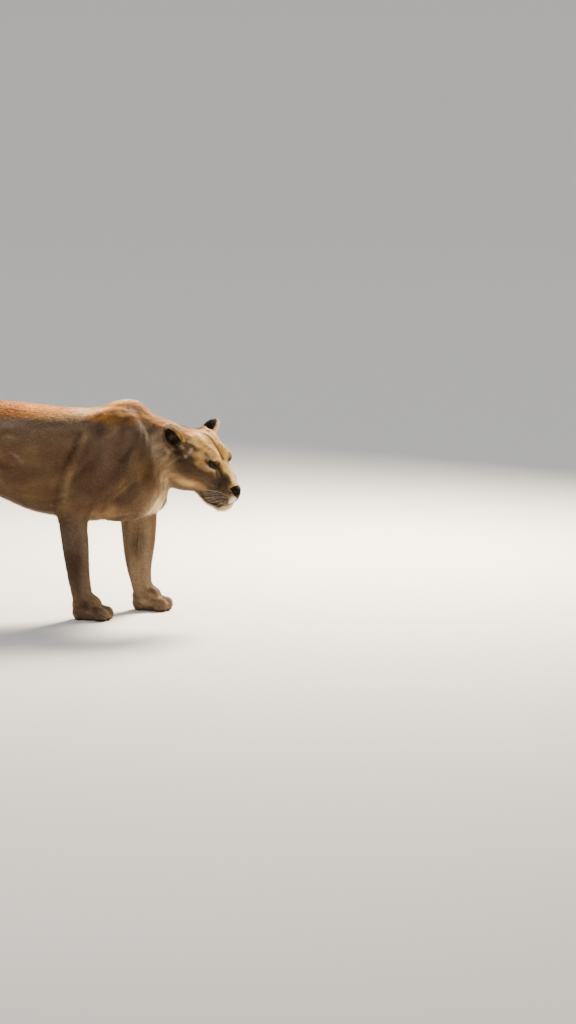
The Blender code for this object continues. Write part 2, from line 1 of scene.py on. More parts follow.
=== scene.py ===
# %% [markdown]
# # A still, life-size lioness
#
# She stands in mid-stride with her head low and turned to her right. The solids of the frame give her
# outline out to the tips of the fur, in pieces. Here one skin is drawn over all of the flesh and modelled,
# and then a coat of short tufts is laid over it, with longer hair where a lioness has it. Eyes, nose, claws
# and whiskers come last.
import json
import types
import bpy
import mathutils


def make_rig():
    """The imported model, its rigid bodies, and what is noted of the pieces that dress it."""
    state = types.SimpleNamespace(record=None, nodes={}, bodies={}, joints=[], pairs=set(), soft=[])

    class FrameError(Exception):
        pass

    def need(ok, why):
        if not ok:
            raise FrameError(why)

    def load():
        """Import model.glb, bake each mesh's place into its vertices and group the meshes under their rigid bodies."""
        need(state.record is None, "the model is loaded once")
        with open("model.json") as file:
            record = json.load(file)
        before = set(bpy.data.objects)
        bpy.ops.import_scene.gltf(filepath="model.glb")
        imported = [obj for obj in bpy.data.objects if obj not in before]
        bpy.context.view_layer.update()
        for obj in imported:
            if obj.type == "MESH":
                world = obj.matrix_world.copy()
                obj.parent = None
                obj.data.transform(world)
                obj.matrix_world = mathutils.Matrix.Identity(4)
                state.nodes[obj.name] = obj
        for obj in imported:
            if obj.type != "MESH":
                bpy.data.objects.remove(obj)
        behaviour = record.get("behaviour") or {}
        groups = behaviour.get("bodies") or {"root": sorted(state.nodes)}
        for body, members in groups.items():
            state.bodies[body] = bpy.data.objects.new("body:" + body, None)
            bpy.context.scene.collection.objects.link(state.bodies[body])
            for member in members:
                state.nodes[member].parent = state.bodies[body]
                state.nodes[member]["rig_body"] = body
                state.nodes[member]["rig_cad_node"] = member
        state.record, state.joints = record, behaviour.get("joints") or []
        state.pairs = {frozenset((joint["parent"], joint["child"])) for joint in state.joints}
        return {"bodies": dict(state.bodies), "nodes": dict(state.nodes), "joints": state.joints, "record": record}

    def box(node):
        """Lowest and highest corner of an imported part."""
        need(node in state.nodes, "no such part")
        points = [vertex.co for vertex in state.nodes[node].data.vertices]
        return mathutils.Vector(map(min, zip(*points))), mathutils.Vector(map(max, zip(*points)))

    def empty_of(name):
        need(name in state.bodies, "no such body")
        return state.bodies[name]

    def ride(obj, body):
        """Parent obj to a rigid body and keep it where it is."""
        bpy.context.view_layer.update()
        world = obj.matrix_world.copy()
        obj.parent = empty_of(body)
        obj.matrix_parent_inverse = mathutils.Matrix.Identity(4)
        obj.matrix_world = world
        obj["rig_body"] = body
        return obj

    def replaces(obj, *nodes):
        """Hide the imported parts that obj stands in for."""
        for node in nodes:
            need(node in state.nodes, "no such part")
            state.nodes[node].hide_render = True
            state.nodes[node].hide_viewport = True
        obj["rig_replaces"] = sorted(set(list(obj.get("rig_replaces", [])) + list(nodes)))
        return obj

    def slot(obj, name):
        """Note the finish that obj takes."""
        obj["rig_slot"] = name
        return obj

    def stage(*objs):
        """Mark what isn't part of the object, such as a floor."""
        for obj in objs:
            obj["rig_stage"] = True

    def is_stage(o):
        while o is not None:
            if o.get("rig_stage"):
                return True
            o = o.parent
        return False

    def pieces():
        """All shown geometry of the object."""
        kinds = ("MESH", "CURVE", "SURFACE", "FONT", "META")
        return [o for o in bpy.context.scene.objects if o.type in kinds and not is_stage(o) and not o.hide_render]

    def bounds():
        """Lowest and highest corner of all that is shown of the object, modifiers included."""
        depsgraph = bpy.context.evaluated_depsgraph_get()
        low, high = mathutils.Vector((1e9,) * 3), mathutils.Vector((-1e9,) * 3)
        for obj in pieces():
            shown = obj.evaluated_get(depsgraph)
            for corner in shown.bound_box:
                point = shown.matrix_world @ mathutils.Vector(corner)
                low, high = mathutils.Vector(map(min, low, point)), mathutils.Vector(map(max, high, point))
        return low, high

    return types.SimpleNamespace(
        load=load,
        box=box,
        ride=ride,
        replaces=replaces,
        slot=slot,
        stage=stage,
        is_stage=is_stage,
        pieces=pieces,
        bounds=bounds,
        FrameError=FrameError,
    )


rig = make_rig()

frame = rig.load()

import json
import math

import bmesh
import bpy
import numpy as np
from mathutils import Matrix, Vector

cad_low, cad_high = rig.bounds()
nodes = frame["nodes"]
print("frame:", len(nodes), "nodes, size", [round(side, 3) for side in cad_high - cad_low])

# %% [markdown]
# The view is a long lens from 14 m away on her right, a little above her, with her at the left of the
# picture. A long lens keeps her proportions true. The camera is made first, because everything else is
# judged through it.

# %% Camera
AHEAD_OF_NOSE, BELOW_HUMP = 0.193, 0.481
ELEVATION, DISTANCE, LENS_MM = math.radians(8), 14, 117.1


def object_of(name, data):
    made = bpy.data.objects.new(name, data)
    bpy.context.scene.collection.objects.link(made)
    return made


def mesh_of(name, places, faces):
    made = bpy.data.meshes.new(name)
    made.from_pydata(places, [], faces)
    return made


def turned_to(place, target):
    """The turn that makes a camera or lamp at a place look at a target."""
    return (Vector(target) - Vector(place)).to_track_quat("-Z", "Y").to_euler()


aim = Vector((cad_high.x + AHEAD_OF_NOSE, 0, cad_high.z - BELOW_HUMP))
camera = object_of("camera", bpy.data.cameras.new("camera"))
camera.location = aim + Vector((0, -math.cos(ELEVATION), math.sin(ELEVATION))) * DISTANCE
camera.rotation_euler = turned_to(camera.location, aim)
camera.data.lens = LENS_MM
camera.data.clip_end = 100
bpy.context.scene.camera = camera
print("camera aims at", [round(value, 3) for value in aim])

# %% [markdown]
# The floor is plain and pale, and turns up into a wall far behind on every side, as a photographer's cove
# does, so that no edge or horizon shows. A big soft lamp stands high on her left, a little ahead of her, so
# that her back, crown and the bridge of her nose are bright and her near side is in soft shade. A pale
# surround fills that shade.

# %% Floor and lamps
COVE = ((0, 0), (26, 0), (29, 0.3), (32, 1.4), (34, 3.2), (35, 6.0), (35, 14))  # distance from her, height
COVE_STEPS = 96


def set_inputs(tree, node, inputs):
    """Sets a node's inputs, given by name or number, or links them where the value is an output."""
    for key, value in dict(inputs).items():
        if isinstance(value, bpy.types.NodeSocket):
            tree.links.new(value, node.inputs[key])
        else:
            node.inputs[key].default_value = value


def new_material(name):
    """A material, its tree of nodes and its shader."""
    made = bpy.data.materials.new(name)
    made.use_nodes = True
    return made, made.node_tree, made.node_tree.nodes["Principled BSDF"]


def plain_material(name, colour, roughness):
    made, tree, shader = new_material(name)
    set_inputs(tree, shader, {"Base Color": (*colour, 1), "Roughness": roughness})
    return made


def soft_lamp(name, place, target, size, watts, colour):
    """A square area lamp that faces a point."""
    data = bpy.data.lights.new(name, "AREA")
    data.size = size
    data.energy = watts
    data.color = colour
    lamp = object_of(name, data)
    lamp.location = place
    lamp.rotation_euler = turned_to(place, target)


spins = [2 * math.pi * i / COVE_STEPS for i in range(COVE_STEPS)]
places = [(far * math.cos(spin), far * math.sin(spin), high) for far, high in COVE[1:] for spin in spins]
cove_faces = [tuple(range(COVE_STEPS))]
for ring in range(len(COVE) - 2):
    for i in range(COVE_STEPS):
        low, after = ring * COVE_STEPS + i, ring * COVE_STEPS + (i + 1) % COVE_STEPS
        cove_faces.append((low, after, after + COVE_STEPS, low + COVE_STEPS)[::-1])
floor_mesh = mesh_of("floor", places, cove_faces)
floor_mesh.shade_smooth()
floor = object_of("floor", floor_mesh)
floor_mesh.materials.append(plain_material("pale_floor", (0.86, 0.84, 0.81), 0.9))
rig.stage(floor)

soft_lamp("key_lamp", (2.0, 2.4, 3.0), (0.1, 0, 0.6), 1.3, 1000, (1.0, 0.85, 0.66))
soft_lamp("near_lamp", (-0.5, -5.0, 2.6), (0.1, 0, 0.5), 3.5, 20, (1.0, 0.97, 0.94))
world = bpy.data.worlds.new("surround")
world.use_nodes = True
sky = world.node_tree.nodes["Background"]
set_inputs(world.node_tree, sky, {"Color": (0.97, 0.98, 1.0, 1), "Strength": 0.7})
bpy.context.scene.world = world
print("two lamps and a surround")

# %% [markdown]
# The head has a frame of its own, in which most of the face is modelled: its origin is at the skull's pivot
# on the neck, +X runs to the nose, +Y to her left and +Z to the crown. Its turn is the pose's, and its
# place comes from the two eyes of the frame.

# %% The head's frame
EYE = np.array((0.159, 0.056, 0.017))  # her left eye, in the head's frame
head_turn = Matrix.Identity(4)
for degrees, axis in ((-28, "Z"), (28, "Y"), (8, "X")):  # turned to her right, lowered, tilted
    head_turn @= Matrix.Rotation(math.radians(degrees), 4, axis)
eye_boxes = [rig.box(name) for name in ("eye_left", "eye_right")]
between_eyes = sum(((low + high) / 2 for low, high in eye_boxes), Vector()) / 2
turn = np.array(head_turn.to_3x3())
pivot = np.array(between_eyes) - turn @ np.array((EYE[0], 0, EYE[2]))
EYE_RADIUS = (eye_boxes[0][1].z - eye_boxes[0][0].z) / 2
OTHER_SIDE = np.array((1, -1, 1))


def unit(way):
    return way / np.linalg.norm(way)


def units(ways):
    """Each row of the ways made 1 long."""
    return ways / np.maximum(np.linalg.norm(ways, axis=1, keepdims=True), 1e-9)


def in_head(points):
    """World points as points of the head's frame."""
    return (points - pivot) @ turn


def from_head(points):
    return np.asarray(points) @ turn.T + pivot


def mirror(points):
    """What turns her left side into the side that each point is on: 1s, or OTHER_SIDE on her right."""
    return np.where(points[:, 1:2] < 0, OTHER_SIDE, 1)


print("skull pivot", pivot.round(3), "eye radius", round(EYE_RADIUS, 4))

# %% [markdown]
# The skin starts as a copy of every node of flesh, each swollen by half a millimetre so that neighbours
# overlap. A voxel remesh makes them one closed surface. It could be sculpted from a sphere instead, but
# then its outline would drift from the solids, and the fur has to end where they do.

# %% One surface from the nodes of flesh
SWELL = 0.0005
SKIN_VOXEL = 0.0034
flesh = sorted(name for name in nodes if not name.startswith("eye"))


def joined_flesh():
    """The eyes are in it too, so that the skin covers them until the lids are opened."""
    shape = bmesh.new()
    for name in sorted(nodes):
        part = bmesh.new()
        part.from_mesh(nodes[name].data)
        bmesh.ops.remove_doubles(part, verts=part.verts[:], dist=1e-5)
        part.normal_update()
        for vertex in part.verts:
            vertex.co += vertex.normal * SWELL
        swollen = bpy.data.meshes.new("swollen")
        part.to_mesh(swollen)
        part.free()
        shape.from_mesh(swollen)
        bpy.data.meshes.remove(swollen)
    mesh = bpy.data.meshes.new("skin")
    shape.to_mesh(mesh)
    shape.free()
    return mesh


def applied(obj, *settings):
    """The object after modifiers, given as (type, {property: value}), are made part of its mesh."""
    for kind, values in settings:
        modifier = obj.modifiers.new(kind.title(), kind)
        for key, value in values.items():
            setattr(modifier, key, value)
    mesh = bpy.data.meshes.new_from_object(obj.evaluated_get(bpy.context.evaluated_depsgraph_get()))
    obj.modifiers.clear()
    old, obj.data = obj.data, mesh
    bpy.data.meshes.remove(old)
    return obj


skin = applied(object_of("skin", joined_flesh()), ("REMESH", {"mode": "VOXEL", "voxel_size": SKIN_VOXEL}))
print("remeshed skin:", len(skin.data.vertices), "vertices")

# %% [markdown]
# Modelling works on whole arrays of vertices. Three helpers do most of it: the normals, a relaxing step
# that moves each vertex towards the middle of its neighbours by a share of its own, and a soft mask round a
# place.

# %% Helpers for modelling
def rows_of(items, key, width, kind):
    """What each vertex, edge or triangle holds under a key, as the rows of an array."""
    found = np.empty(len(items) * width, kind)
    items.foreach_get(key, found)
    return found.reshape(-1, width)


def points_of(mesh):
    return rows_of(mesh.vertices, "co", 3, float)


def triangles_of(mesh):
    mesh.calc_loop_triangles()
    return rows_of(mesh.loop_triangles, "vertices", 3, np.int64)


def edges_of(mesh):
    return rows_of(mesh.edges, "vertices", 2, np.int64)


def set_points(mesh, points):
    mesh.vertices.foreach_set("co", points.ravel())
    mesh.update()


def normals_of(points, triangles):
    a, b, c = (points[triangles[:, i]] for i in range(3))
    faces = np.cross(b - a, c - a)
    found = np.zeros_like(points)
    for axis in range(3):
        for corner in range(3):
            found[:, axis] += np.bincount(triangles[:, corner], faces[:, axis], len(points))
    return found / np.maximum(np.linalg.norm(found, axis=1, keepdims=True), 1e-12)


def neighbours_sum(values, edges, weight=1):
    """The sum, for each vertex, of its neighbours' values, each by the weight of the edge to it."""
    a, b = edges[:, 0], edges[:, 1]
    return np.bincount(a, weight * values[b], len(values)) + np.bincount(b, weight * values[a], len(values))


def relaxed(values, edges, share, rounds):
    """Values, one row for each vertex, that move towards their neighbours' mean by a share from 0 to 1."""
    count = len(values)
    degree = np.bincount(edges.ravel(), minlength=count)[:, None]
    share = np.broadcast_to(np.asarray(share, float), (count,))[:, None]
    for _ in range(rounds):
        total = np.stack([neighbours_sum(column, edges) for column in values.T], axis=1)
        values = values + share * (total / degree - values)
    return values


def step(low, high, value):
    """0 below low, 1 above high and smooth between; it falls instead where high is under low."""
    t = np.clip((value - low) / (high - low), 0, 1)
    return t * t * (3 - 2 * t)


def bell(off, width):
    """1 where the distance off is 0, and falling softly to nothing over a width or two."""
    return np.exp(-((off / width) ** 2))


def mound(points, centre, radii):
    """1 at the centre of an ellipsoid, and falling smoothly to 0 at its surface."""
    away = (((points - np.asarray(centre)) / np.asarray(radii)) ** 2).sum(axis=1)
    return np.clip(1 - away, 0, 1) ** 2


def ellipsoid(points, centre, radii):
    """How far out each point is, where 1 is on the ellipsoid."""
    return np.sqrt((((points - np.asarray(centre)) / np.asarray(radii)) ** 2).sum(axis=1))


def folded(points):
    """Both sides of the head as her left one."""
    return points * mirror(points)


def eased(path):
    """The path with its corners cut twice, so that a line pressed along it has no kinks."""
    for _ in range(2):
        inner = np.stack((0.75 * path[:-1] + 0.25 * path[1:], 0.25 * path[:-1] + 0.75 * path[1:]), axis=1)
        path = np.concatenate((path[:1], inner.reshape(-1, path.shape[1])[1:-1], path[-1:]))
    return path


def line_distance(points, normals, path):
    """How far each point is from a path, in its own tangent plane, and how far along the path, 0 to 1."""
    path = eased(np.asarray(path, float))
    steps = np.linalg.norm(np.diff(path, axis=0), axis=1)
    starts = np.concatenate([[0], np.cumsum(steps)]) / steps.sum()
    best, along = np.full(len(points), 1e9), np.zeros(len(points))
    for i, (a, b) in enumerate(zip(path, path[1:], strict=False)):
        t = np.clip((points - a) @ (b - a) / steps[i] ** 2, 0, 1)
        off = points - (a + t[:, None] * (b - a))
        reach = np.linalg.norm(off, axis=1)
        flat = np.linalg.norm(off - normals * (off * normals).sum(axis=1, keepdims=True), axis=1)
        found = np.where(reach > 0.05, 1e9, np.hypot(flat, 0.25 * reach))
        nearer = found < best
        best[nearer] = found[nearer]
        along[nearer] = (starts[i] + t * (starts[i + 1] - starts[i]))[nearer]
    return best, along


points, edges = points_of(skin.data), edges_of(skin.data)
print("helpers ready;", len(edges), "edges")

# %% [markdown]
# First the facets of the solids are relaxed away: well over the body, and only a little on the face, ears
# and paws, whose forms are small.

# %% Relax the body
EARS_AT, EARS_REACH = (-0.005, 0.11, 0.05), (0.08, 0.062, 0.08)
local = in_head(points)
on_face = step(-0.02, 0.05, local[:, 0]) * step(-0.34, -0.2, local[:, 2])
on_ears = step(1.15, 0.95, ellipsoid(folded(local), EARS_AT, EARS_REACH))
on_paws = step(0.13, 0.08, points[:, 2])
firm = np.maximum(np.maximum(on_face, on_ears), on_paws)
points = relaxed(points, edges, 0.5 * (1 - firm), 40)
points = relaxed(points, edges, 0.5 * firm, 5)
set_points(skin.data, points)
print("relaxed; firm share", round(float(firm.mean()), 3))

# %% [markdown]
# A face needs vertices a millimetre apart, and a flank doesn't. So the face and ears are subdivided once,
# the eyes, nose and mouth twice, and the body is decimated. Multiresolution would do this by hand, but its
# levels cover a whole object.

# %% Finer face, coarser body
BODY_TRIANGLES = 56000
MOUTH = np.array((  # the line between the lips, from the corner of the mouth to the middle, on her left
    (0.168, 0.05, -0.13), (0.186, 0.053, -0.144), (0.206, 0.052, -0.152), (0.23, 0.049, -0.1535),
    (0.252, 0.045, -0.148), (0.271, 0.037, -0.136), (0.286, 0.024, -0.121), (0.294, 0.01, -0.109),
    (0.297, 0.0, -0.103),
))  # fmt: skip


def refine(mesh, wanted):
    """Subdivides the edges whose two ends are wanted."""
    shape = bmesh.new()
    shape.from_mesh(mesh)
    chosen = [edge for edge in shape.edges if wanted[edge.verts[0].index] and wanted[edge.verts[1].index]]
    bmesh.ops.subdivide_edges(shape, edges=chosen, cuts=1, use_grid_fill=True)
    shape.to_mesh(mesh)
    shape.free()


local = folded(in_head(points))
face = (ellipsoid(local, (0.19, 0, -0.05), (0.15, 0.13, 0.15)) < 1) & (local[:, 0] > 0.06)
ears = ellipsoid(local, EARS_AT, EARS_REACH) < 1
refine(skin.data, face | ears)
points, edges = points_of(skin.data), edges_of(skin.data)
local = folded(in_head(points))
near_eye = ellipsoid(local, EYE, (0.034, 0.034, 0.032)) < 1
near_nose = ellipsoid(local, (0.285, 0, -0.065), (0.04, 0.045, 0.036)) < 1
off_mouth, _ = line_distance(local, np.zeros_like(local), MOUTH)
refine(skin.data, near_eye | near_nose | (off_mouth < 0.01))
points, edges = points_of(skin.data), edges_of(skin.data)
fine = step(0.12, 0.02, ellipsoid(folded(in_head(points)), (0.13, 0, -0.03), (0.2, 0.2, 0.2)) - 0.95)
points = relaxed(points, edges, 0.5 * fine, 4)
set_points(skin.data, points)

group = skin.vertex_groups.new(name="body")
kept = (fine > 0.2) | (points[:, 2] < 0.11)
group.add(np.nonzero(~kept)[0].tolist(), 1.0, "REPLACE")
triangles = triangles_of(skin.data)
in_body = int((~kept[triangles]).any(axis=1).sum())
ratio = (len(triangles) - in_body + BODY_TRIANGLES) / len(triangles)
applied(skin, ("TRIANGULATE", {}), ("DECIMATE", {"ratio": ratio, "vertex_group": "body"}))
points, edges, triangles = points_of(skin.data), edges_of(skin.data), triangles_of(skin.data)
points = relaxed(points, edges, 0.4 * (points[:, 2] > 0.12), 3)
print("skin now has", len(triangles), "triangles")

# %% [markdown]
# The skin lies under the coat. Each vertex goes in along its normal by the depth that the fur will fill
# there: most on the back, chest and belly, a few millimetres on the face and legs, and nothing on the
# soles, which stay down.

# %% How deep the skin lies
HUMP_BEHIND_NOSE = 0.488


def head_mask(points):
    """1 on the head and 0 behind the jaw and ears, with a soft edge between."""
    local = folded(in_head(points))
    return step(0.0, 0.05, local[:, 0]) * step(-0.26, -0.18, local[:, 2]) * step(0.5, 0.56, points[:, 0])


hump = Vector((cad_high.x - HUMP_BEHIND_NOSE, 0, cad_high.z))
print("hump at", [round(value, 3) for value in hump])
local = folded(in_head(points))
normals = normals_of(points, triangles)
height, ahead = points[:, 2], points[:, 0]
on_head = head_mask(points)
on_ears = step(1.0, 0.85, ellipsoid(local, EARS_AT, EARS_REACH))
on_tail = step(cad_low.x + 0.335, cad_low.x + 0.305, ahead)
on_legs = step(0.46, 0.36, height) * (1 - on_tail) * (1 - on_head)
on_paws = step(0.15, 0.09, height) * (1 - on_tail)
depth = np.full(len(points), 0.0075)
for share, deep in (
    (on_legs, 0.005), (on_paws, 0.0035), (on_tail, 0.0055), (on_head, 0.003), (on_ears, 0.0012)
):
    depth += (deep - depth) * share
depth *= 1 - step(0.012, 0.004, height)
points = points - normals * relaxed(depth[:, None], edges, 0.5, 6)
print("coat depth", depth.min().round(4), "to", depth.max().round(4))

# %% [markdown]
# Now the body is modelled on the relaxed skin. Each fold or muscle edge is a path on the surface, and a
# groove or a ridge is pressed along it: the rear edge of the upper arm, the folds behind the elbow, the
# shoulder blade's spine, the edge between neck and shoulder, the flank's fold, the hip and the thigh's hind
# edge. The ribs show faintly, the back has a shallow furrow along the spine, and the breast and throat are
# drawn in.

# %% Muscles and folds of the body
GROOVES = (  # path as (ahead of the hump, height), half width, depth; a ridge has a negative depth
    (((-0.15, 0.79), (-0.2, 0.7), (-0.252, 0.61), (-0.29, 0.52), (-0.28, 0.45)), 0.014, 0.011),
    (((-0.13, 0.76), (-0.175, 0.68), (-0.222, 0.6), (-0.25, 0.52)), 0.022, -0.004),
    (((-0.3, 0.64), (-0.325, 0.57), (-0.33, 0.5)), 0.01, 0.003),
    (((-0.33, 0.7), (-0.36, 0.62), (-0.37, 0.54)), 0.01, 0.0022),
    (((-0.03, 0.86), (0.01, 0.8), (0.055, 0.7), (0.07, 0.64)), 0.02, -0.002),
    (((0.02, 0.83), (0.05, 0.78), (0.09, 0.7), (0.105, 0.62)), 0.018, 0.003),
    (((-0.06, 0.86), (-0.1, 0.79), (-0.11, 0.7)), 0.022, 0.004),
    (((0.06, 0.64), (0.02, 0.56), (-0.06, 0.5), (-0.13, 0.47)), 0.016, 0.0045),
    (((0.11, 0.6), (0.085, 0.53), (0.05, 0.48)), 0.014, 0.004),
    (((-0.56, 0.8), (-0.61, 0.7), (-0.64, 0.6), (-0.66, 0.54)), 0.02, 0.006),
    (((-0.6, 0.6), (-0.63, 0.56), (-0.65, 0.5)), 0.012, -0.004),
    (((-0.85, 0.8), (-0.86, 0.7), (-0.84, 0.6), (-0.81, 0.5)), 0.018, 0.005),
    (((-0.7, 0.86), (-0.73, 0.8), (-0.74, 0.72)), 0.022, -0.003),
)
DRAWN_IN = (  # ahead of the hump, height, radii, depth
    (0.175, 0.52, (0.11, 0.17, 0.15), 0.016),
    (0.24, 0.6, (0.11, 0.13, 0.12), 0.02),
    (0.205, 0.555, (0.08, 0.13, 0.075), 0.012),
)
RIB_SPACING, RIB_DEPTH, SPINE_DEPTH = 0.045, 0.0012, 0.004
normals = normals_of(points, triangles)
away = np.zeros(len(points))
flat = points * np.array((1, 0, 1))
outward = np.abs(normals[:, 1]) ** 0.5
for path, width, depth in GROOVES:
    path = np.array([(hump.x + x, 0, z) for x, z in path])
    off, along = line_distance(flat, np.zeros_like(flat), path)
    fade = np.sin(math.pi * np.clip(along, 0.02, 0.98)) ** 0.5
    away -= depth * bell(off, width) * fade * outward * (height > 0.36)
ribs = step(0.2, 0.1, np.abs(ahead - (hump.x - 0.42))) * step(0.12, 0.05, np.abs(height - 0.66))
away -= RIB_DEPTH * np.cos((ahead + 0.25 * height) * 2 * math.pi / RIB_SPACING) * ribs * outward
spine = bell(points[:, 1], 0.012) * step(0.3, 0.8, normals[:, 2])
spine *= step(0.0, -0.1, ahead - hump.x)
away += SPINE_DEPTH * spine * (height > 0.7)
for x, z, radii, inward in DRAWN_IN:
    away -= inward * mound(points, (hump.x + x, 0, z), radii) ** 0.5 * (1 - on_head)
points = points + normals * relaxed(away[:, None], edges, 0.5, 3) * (1 - on_head)[:, None]
print("body modelled, moves from", away.min().round(4), "to", away.max().round(4))

# %% [markdown]
# The face is modelled on one half and mirrored by folding both sides together. The muzzle gets its pads,
# the groove beside the nose, the line of the mouth, the nose pad with its nostrils and the split below it.
# The forehead has a furrow down its middle.

# %% Muzzle, mouth, nose and forehead
NOSTRIL = ((0.3, 0.0105, -0.059), (0.296, 0.017, -0.0595), (0.289, 0.024, -0.064), (0.281, 0.029, -0.07))
EAR_FOLD = (
    (0.01, 0.066, 0.068), (0.03, 0.08, 0.056), (0.05, 0.081, 0.058), (0.056, 0.066, 0.072),
    (0.044, 0.04, 0.08),
)  # fmt: skip
PHILTRUM = ((0.304, 0, -0.078), (0.302, 0, -0.09), (0.297, 0, -0.101))
PAD_HALF_WIDTH = (  # height in the head's frame, half width of the nose pad
    (-0.094, 0.0015), (-0.087, 0.003), (-0.08, 0.01), (-0.073, 0.022), (-0.066, 0.031), (-0.056, 0.033),
    (-0.046, 0.029), (-0.04, 0.018), (-0.036, 0.004),
)  # fmt: skip
FACE_FORMS = (  # how far out it stands, centre, radii, power
    (0.0045, (0.247, 0.04, -0.1), (0.042, 0.028, 0.034), 1),  # whisker pad
    (0.0025, (0.284, 0.02, -0.098), (0.022, 0.018, 0.02), 1),  # lip under the nose
    (-0.0035, (0.222, 0.045, -0.052), (0.05, 0.02, 0.022), 1),  # between bridge and pad
    (0.002, (0.225, 0.0, -0.01), (0.06, 0.028, 0.03), 1),  # bridge
    (-0.003, (0.17, 0.0, 0.034), (0.04, 0.022, 0.03), 1),  # between the eyes
    (0.003, (0.25, 0.0, -0.162), (0.036, 0.034, 0.022), 1),  # chin
    (0.0055, (0.19, 0.04, -0.152), (0.05, 0.04, 0.03), 0.7),  # hanging corner of the lips
)
FACE_LINES = (  # path, half width, depth
    (((0.06, 0, 0.08), (0.1, 0, 0.072), (0.15, 0, 0.048), (0.172, 0, 0.034)), 0.0085, 0.0032),  # furrow
    (((0.176, 0.044, -0.01), (0.206, 0.046, -0.036), (0.222, 0.052, -0.062)), 0.006, 0.0022),
    (EAR_FOLD, 0.0055, -0.0045),
)
LIP_LINES = (
    (MOUTH, 0.0026, 0.0048), (MOUTH + np.array((0, 0, 0.008)), 0.006, -0.0012), (PHILTRUM, 0.002, 0.0032),
    (NOSTRIL[:2], 0.0042, 0.007), (NOSTRIL[1:], 0.0022, 0.0036),
)  # fmt: skip
PAD_HEIGHT = 0.0012


def nose_pad(points):
    """1 on the bare pad of the nose and 0 off it, with an edge 2 mm wide."""
    heights, widths = zip(*PAD_HALF_WIDTH, strict=True)
    half = np.interp(points[:, 2] + 0.3 * (points[:, 0] - 0.295), heights, widths, left=0, right=0)
    ahead_of_fur = points[:, 0] - 0.278 + 0.35 * points[:, 1]
    return step(0.001, -0.001, points[:, 1] - half) * step(-0.001, 0.001, ahead_of_fur) * (half > 0)


def moved_out(points, by):
    return points + normals_of(points, triangles) * by[:, None]


def modelled(points, forms=(), lines=(), pad=0):
    """The face with forms raised on it and lines pressed into it, the same on both halves."""
    local = folded(in_head(points))
    flow = normals_of(points, triangles) @ turn * mirror(in_head(points))
    move = np.zeros(len(points))
    for out, centre, radii, power in forms:
        move += out * mound(local, centre, radii) ** power
    for path, width, depth in lines:
        off, _ = line_distance(local, flow, path)
        move -= depth * bell(off, width)
        if path is PHILTRUM:
            move += pad * nose_pad(local)
    return moved_out(points, move)


points = modelled(points, FACE_FORMS, FACE_LINES)
points = modelled(points, (), LIP_LINES, PAD_HEIGHT)
print("face modelled:", len(FACE_FORMS), "forms and", len(FACE_LINES) + len(LIP_LINES), "lines")

# %% [markdown]
# Each eye is a ball in its socket, and the lids are the skin round it. In the opening, an almond that
# slants down to its inner corner, the skin goes behind the ball. Round the opening it lies on the ball with
# a lid's thickness, and further out it blends into the face. A heavy brow shades the upper lid.

# %% Lids
GAZE = unit(np.array((0.8, 0.59, 0.1)))
OPENING_AT = unit(np.array((0.7, 0.7, 0.06)))
INNER_WAY = np.array((0.5, -0.62, -0.46))
HALF_LENGTH, UPPER, LOWER = 0.86, 0.17, 0.27  # of the opening, in radians as seen from the ball's centre
LID, LID_REACH = 0.002, 0.036  # how thick a lid is, and how far from the ball's centre the lids go


def lid_place(points):
    """How far each point is from the ball's centre, and its angle outside the opening (under 0 inside)."""
    inner = unit(INNER_WAY - OPENING_AT * (INNER_WAY @ OPENING_AT))
    up = np.cross(inner, OPENING_AT)
    up *= np.sign(up[2])
    way = points - EYE
    reach = np.linalg.norm(way, axis=1)
    way = way / np.maximum(reach, 1e-9)[:, None]
    across = np.arctan2(way @ inner, way @ OPENING_AT)
    above = np.arctan2(way @ up, way @ OPENING_AT)
    room = np.clip(1 - (across / HALF_LENGTH) ** 2, 0, 1)
    edge = np.where(above > 0, above - UPPER * room**0.75, -above - LOWER * room)
    edge = np.maximum(edge, np.abs(across) - HALF_LENGTH)
    return reach, edge


local = folded(in_head(points))
reach, edge = lid_place(local)
near = (reach < LID_REACH) & (np.abs(edge) < 1.4) & ((local - EYE) @ OPENING_AT > 0.001)
lid_rim = 0.0008 * bell(edge - 0.07, 0.07)
on_ball = EYE_RADIUS + LID + lid_rim
target = np.where(edge < 0, EYE_RADIUS - 0.0035 * np.clip(-edge / 0.1, 0, 1), on_ball)
hold = step(0.62, 0.22, edge) * near
new_reach = reach + (target - reach) * hold
cover = (EYE_RADIUS + LID) * (edge >= 0) * ((local - EYE) @ OPENING_AT > -0.006)
over = 0.5 * (new_reach + cover + np.sqrt((new_reach - cover) ** 2 + 0.003**2))
smoothed = new_reach + (over - new_reach) * step(0.0, 0.5, edge) * step(LID_REACH, 0.026, reach)
new_reach = np.where(reach < LID_REACH, smoothed, new_reach)
local_both = in_head(points)
eye_both = EYE * mirror(in_head(points))
scale = np.where(reach < LID_REACH, new_reach / np.maximum(reach, 1e-9), 1)
local_both = eye_both + (local_both - eye_both) * scale[:, None]
points = from_head(local_both)
brow = 0.0055 * mound(folded(local_both), EYE + np.array((0.004, 0.006, 0.022)), (0.034, 0.024, 0.012))
brow -= 0.003 * mound(folded(local_both), EYE + np.array((0.026, -0.016, -0.008)), (0.018, 0.014, 0.016))
points = moved_out(points, brow)
set_points(skin.data, points)
print("lids: opening holds", int((near & (edge < 0)).sum()), "vertices")

# %% [markdown]
# The ears are cups. Each has a frame of its own: +Z to its tip and +X out of its opening. Her right ear is
# turned out and back, and her left one stands up. Here the cups are pressed deeper, which the solids only
# hint at.

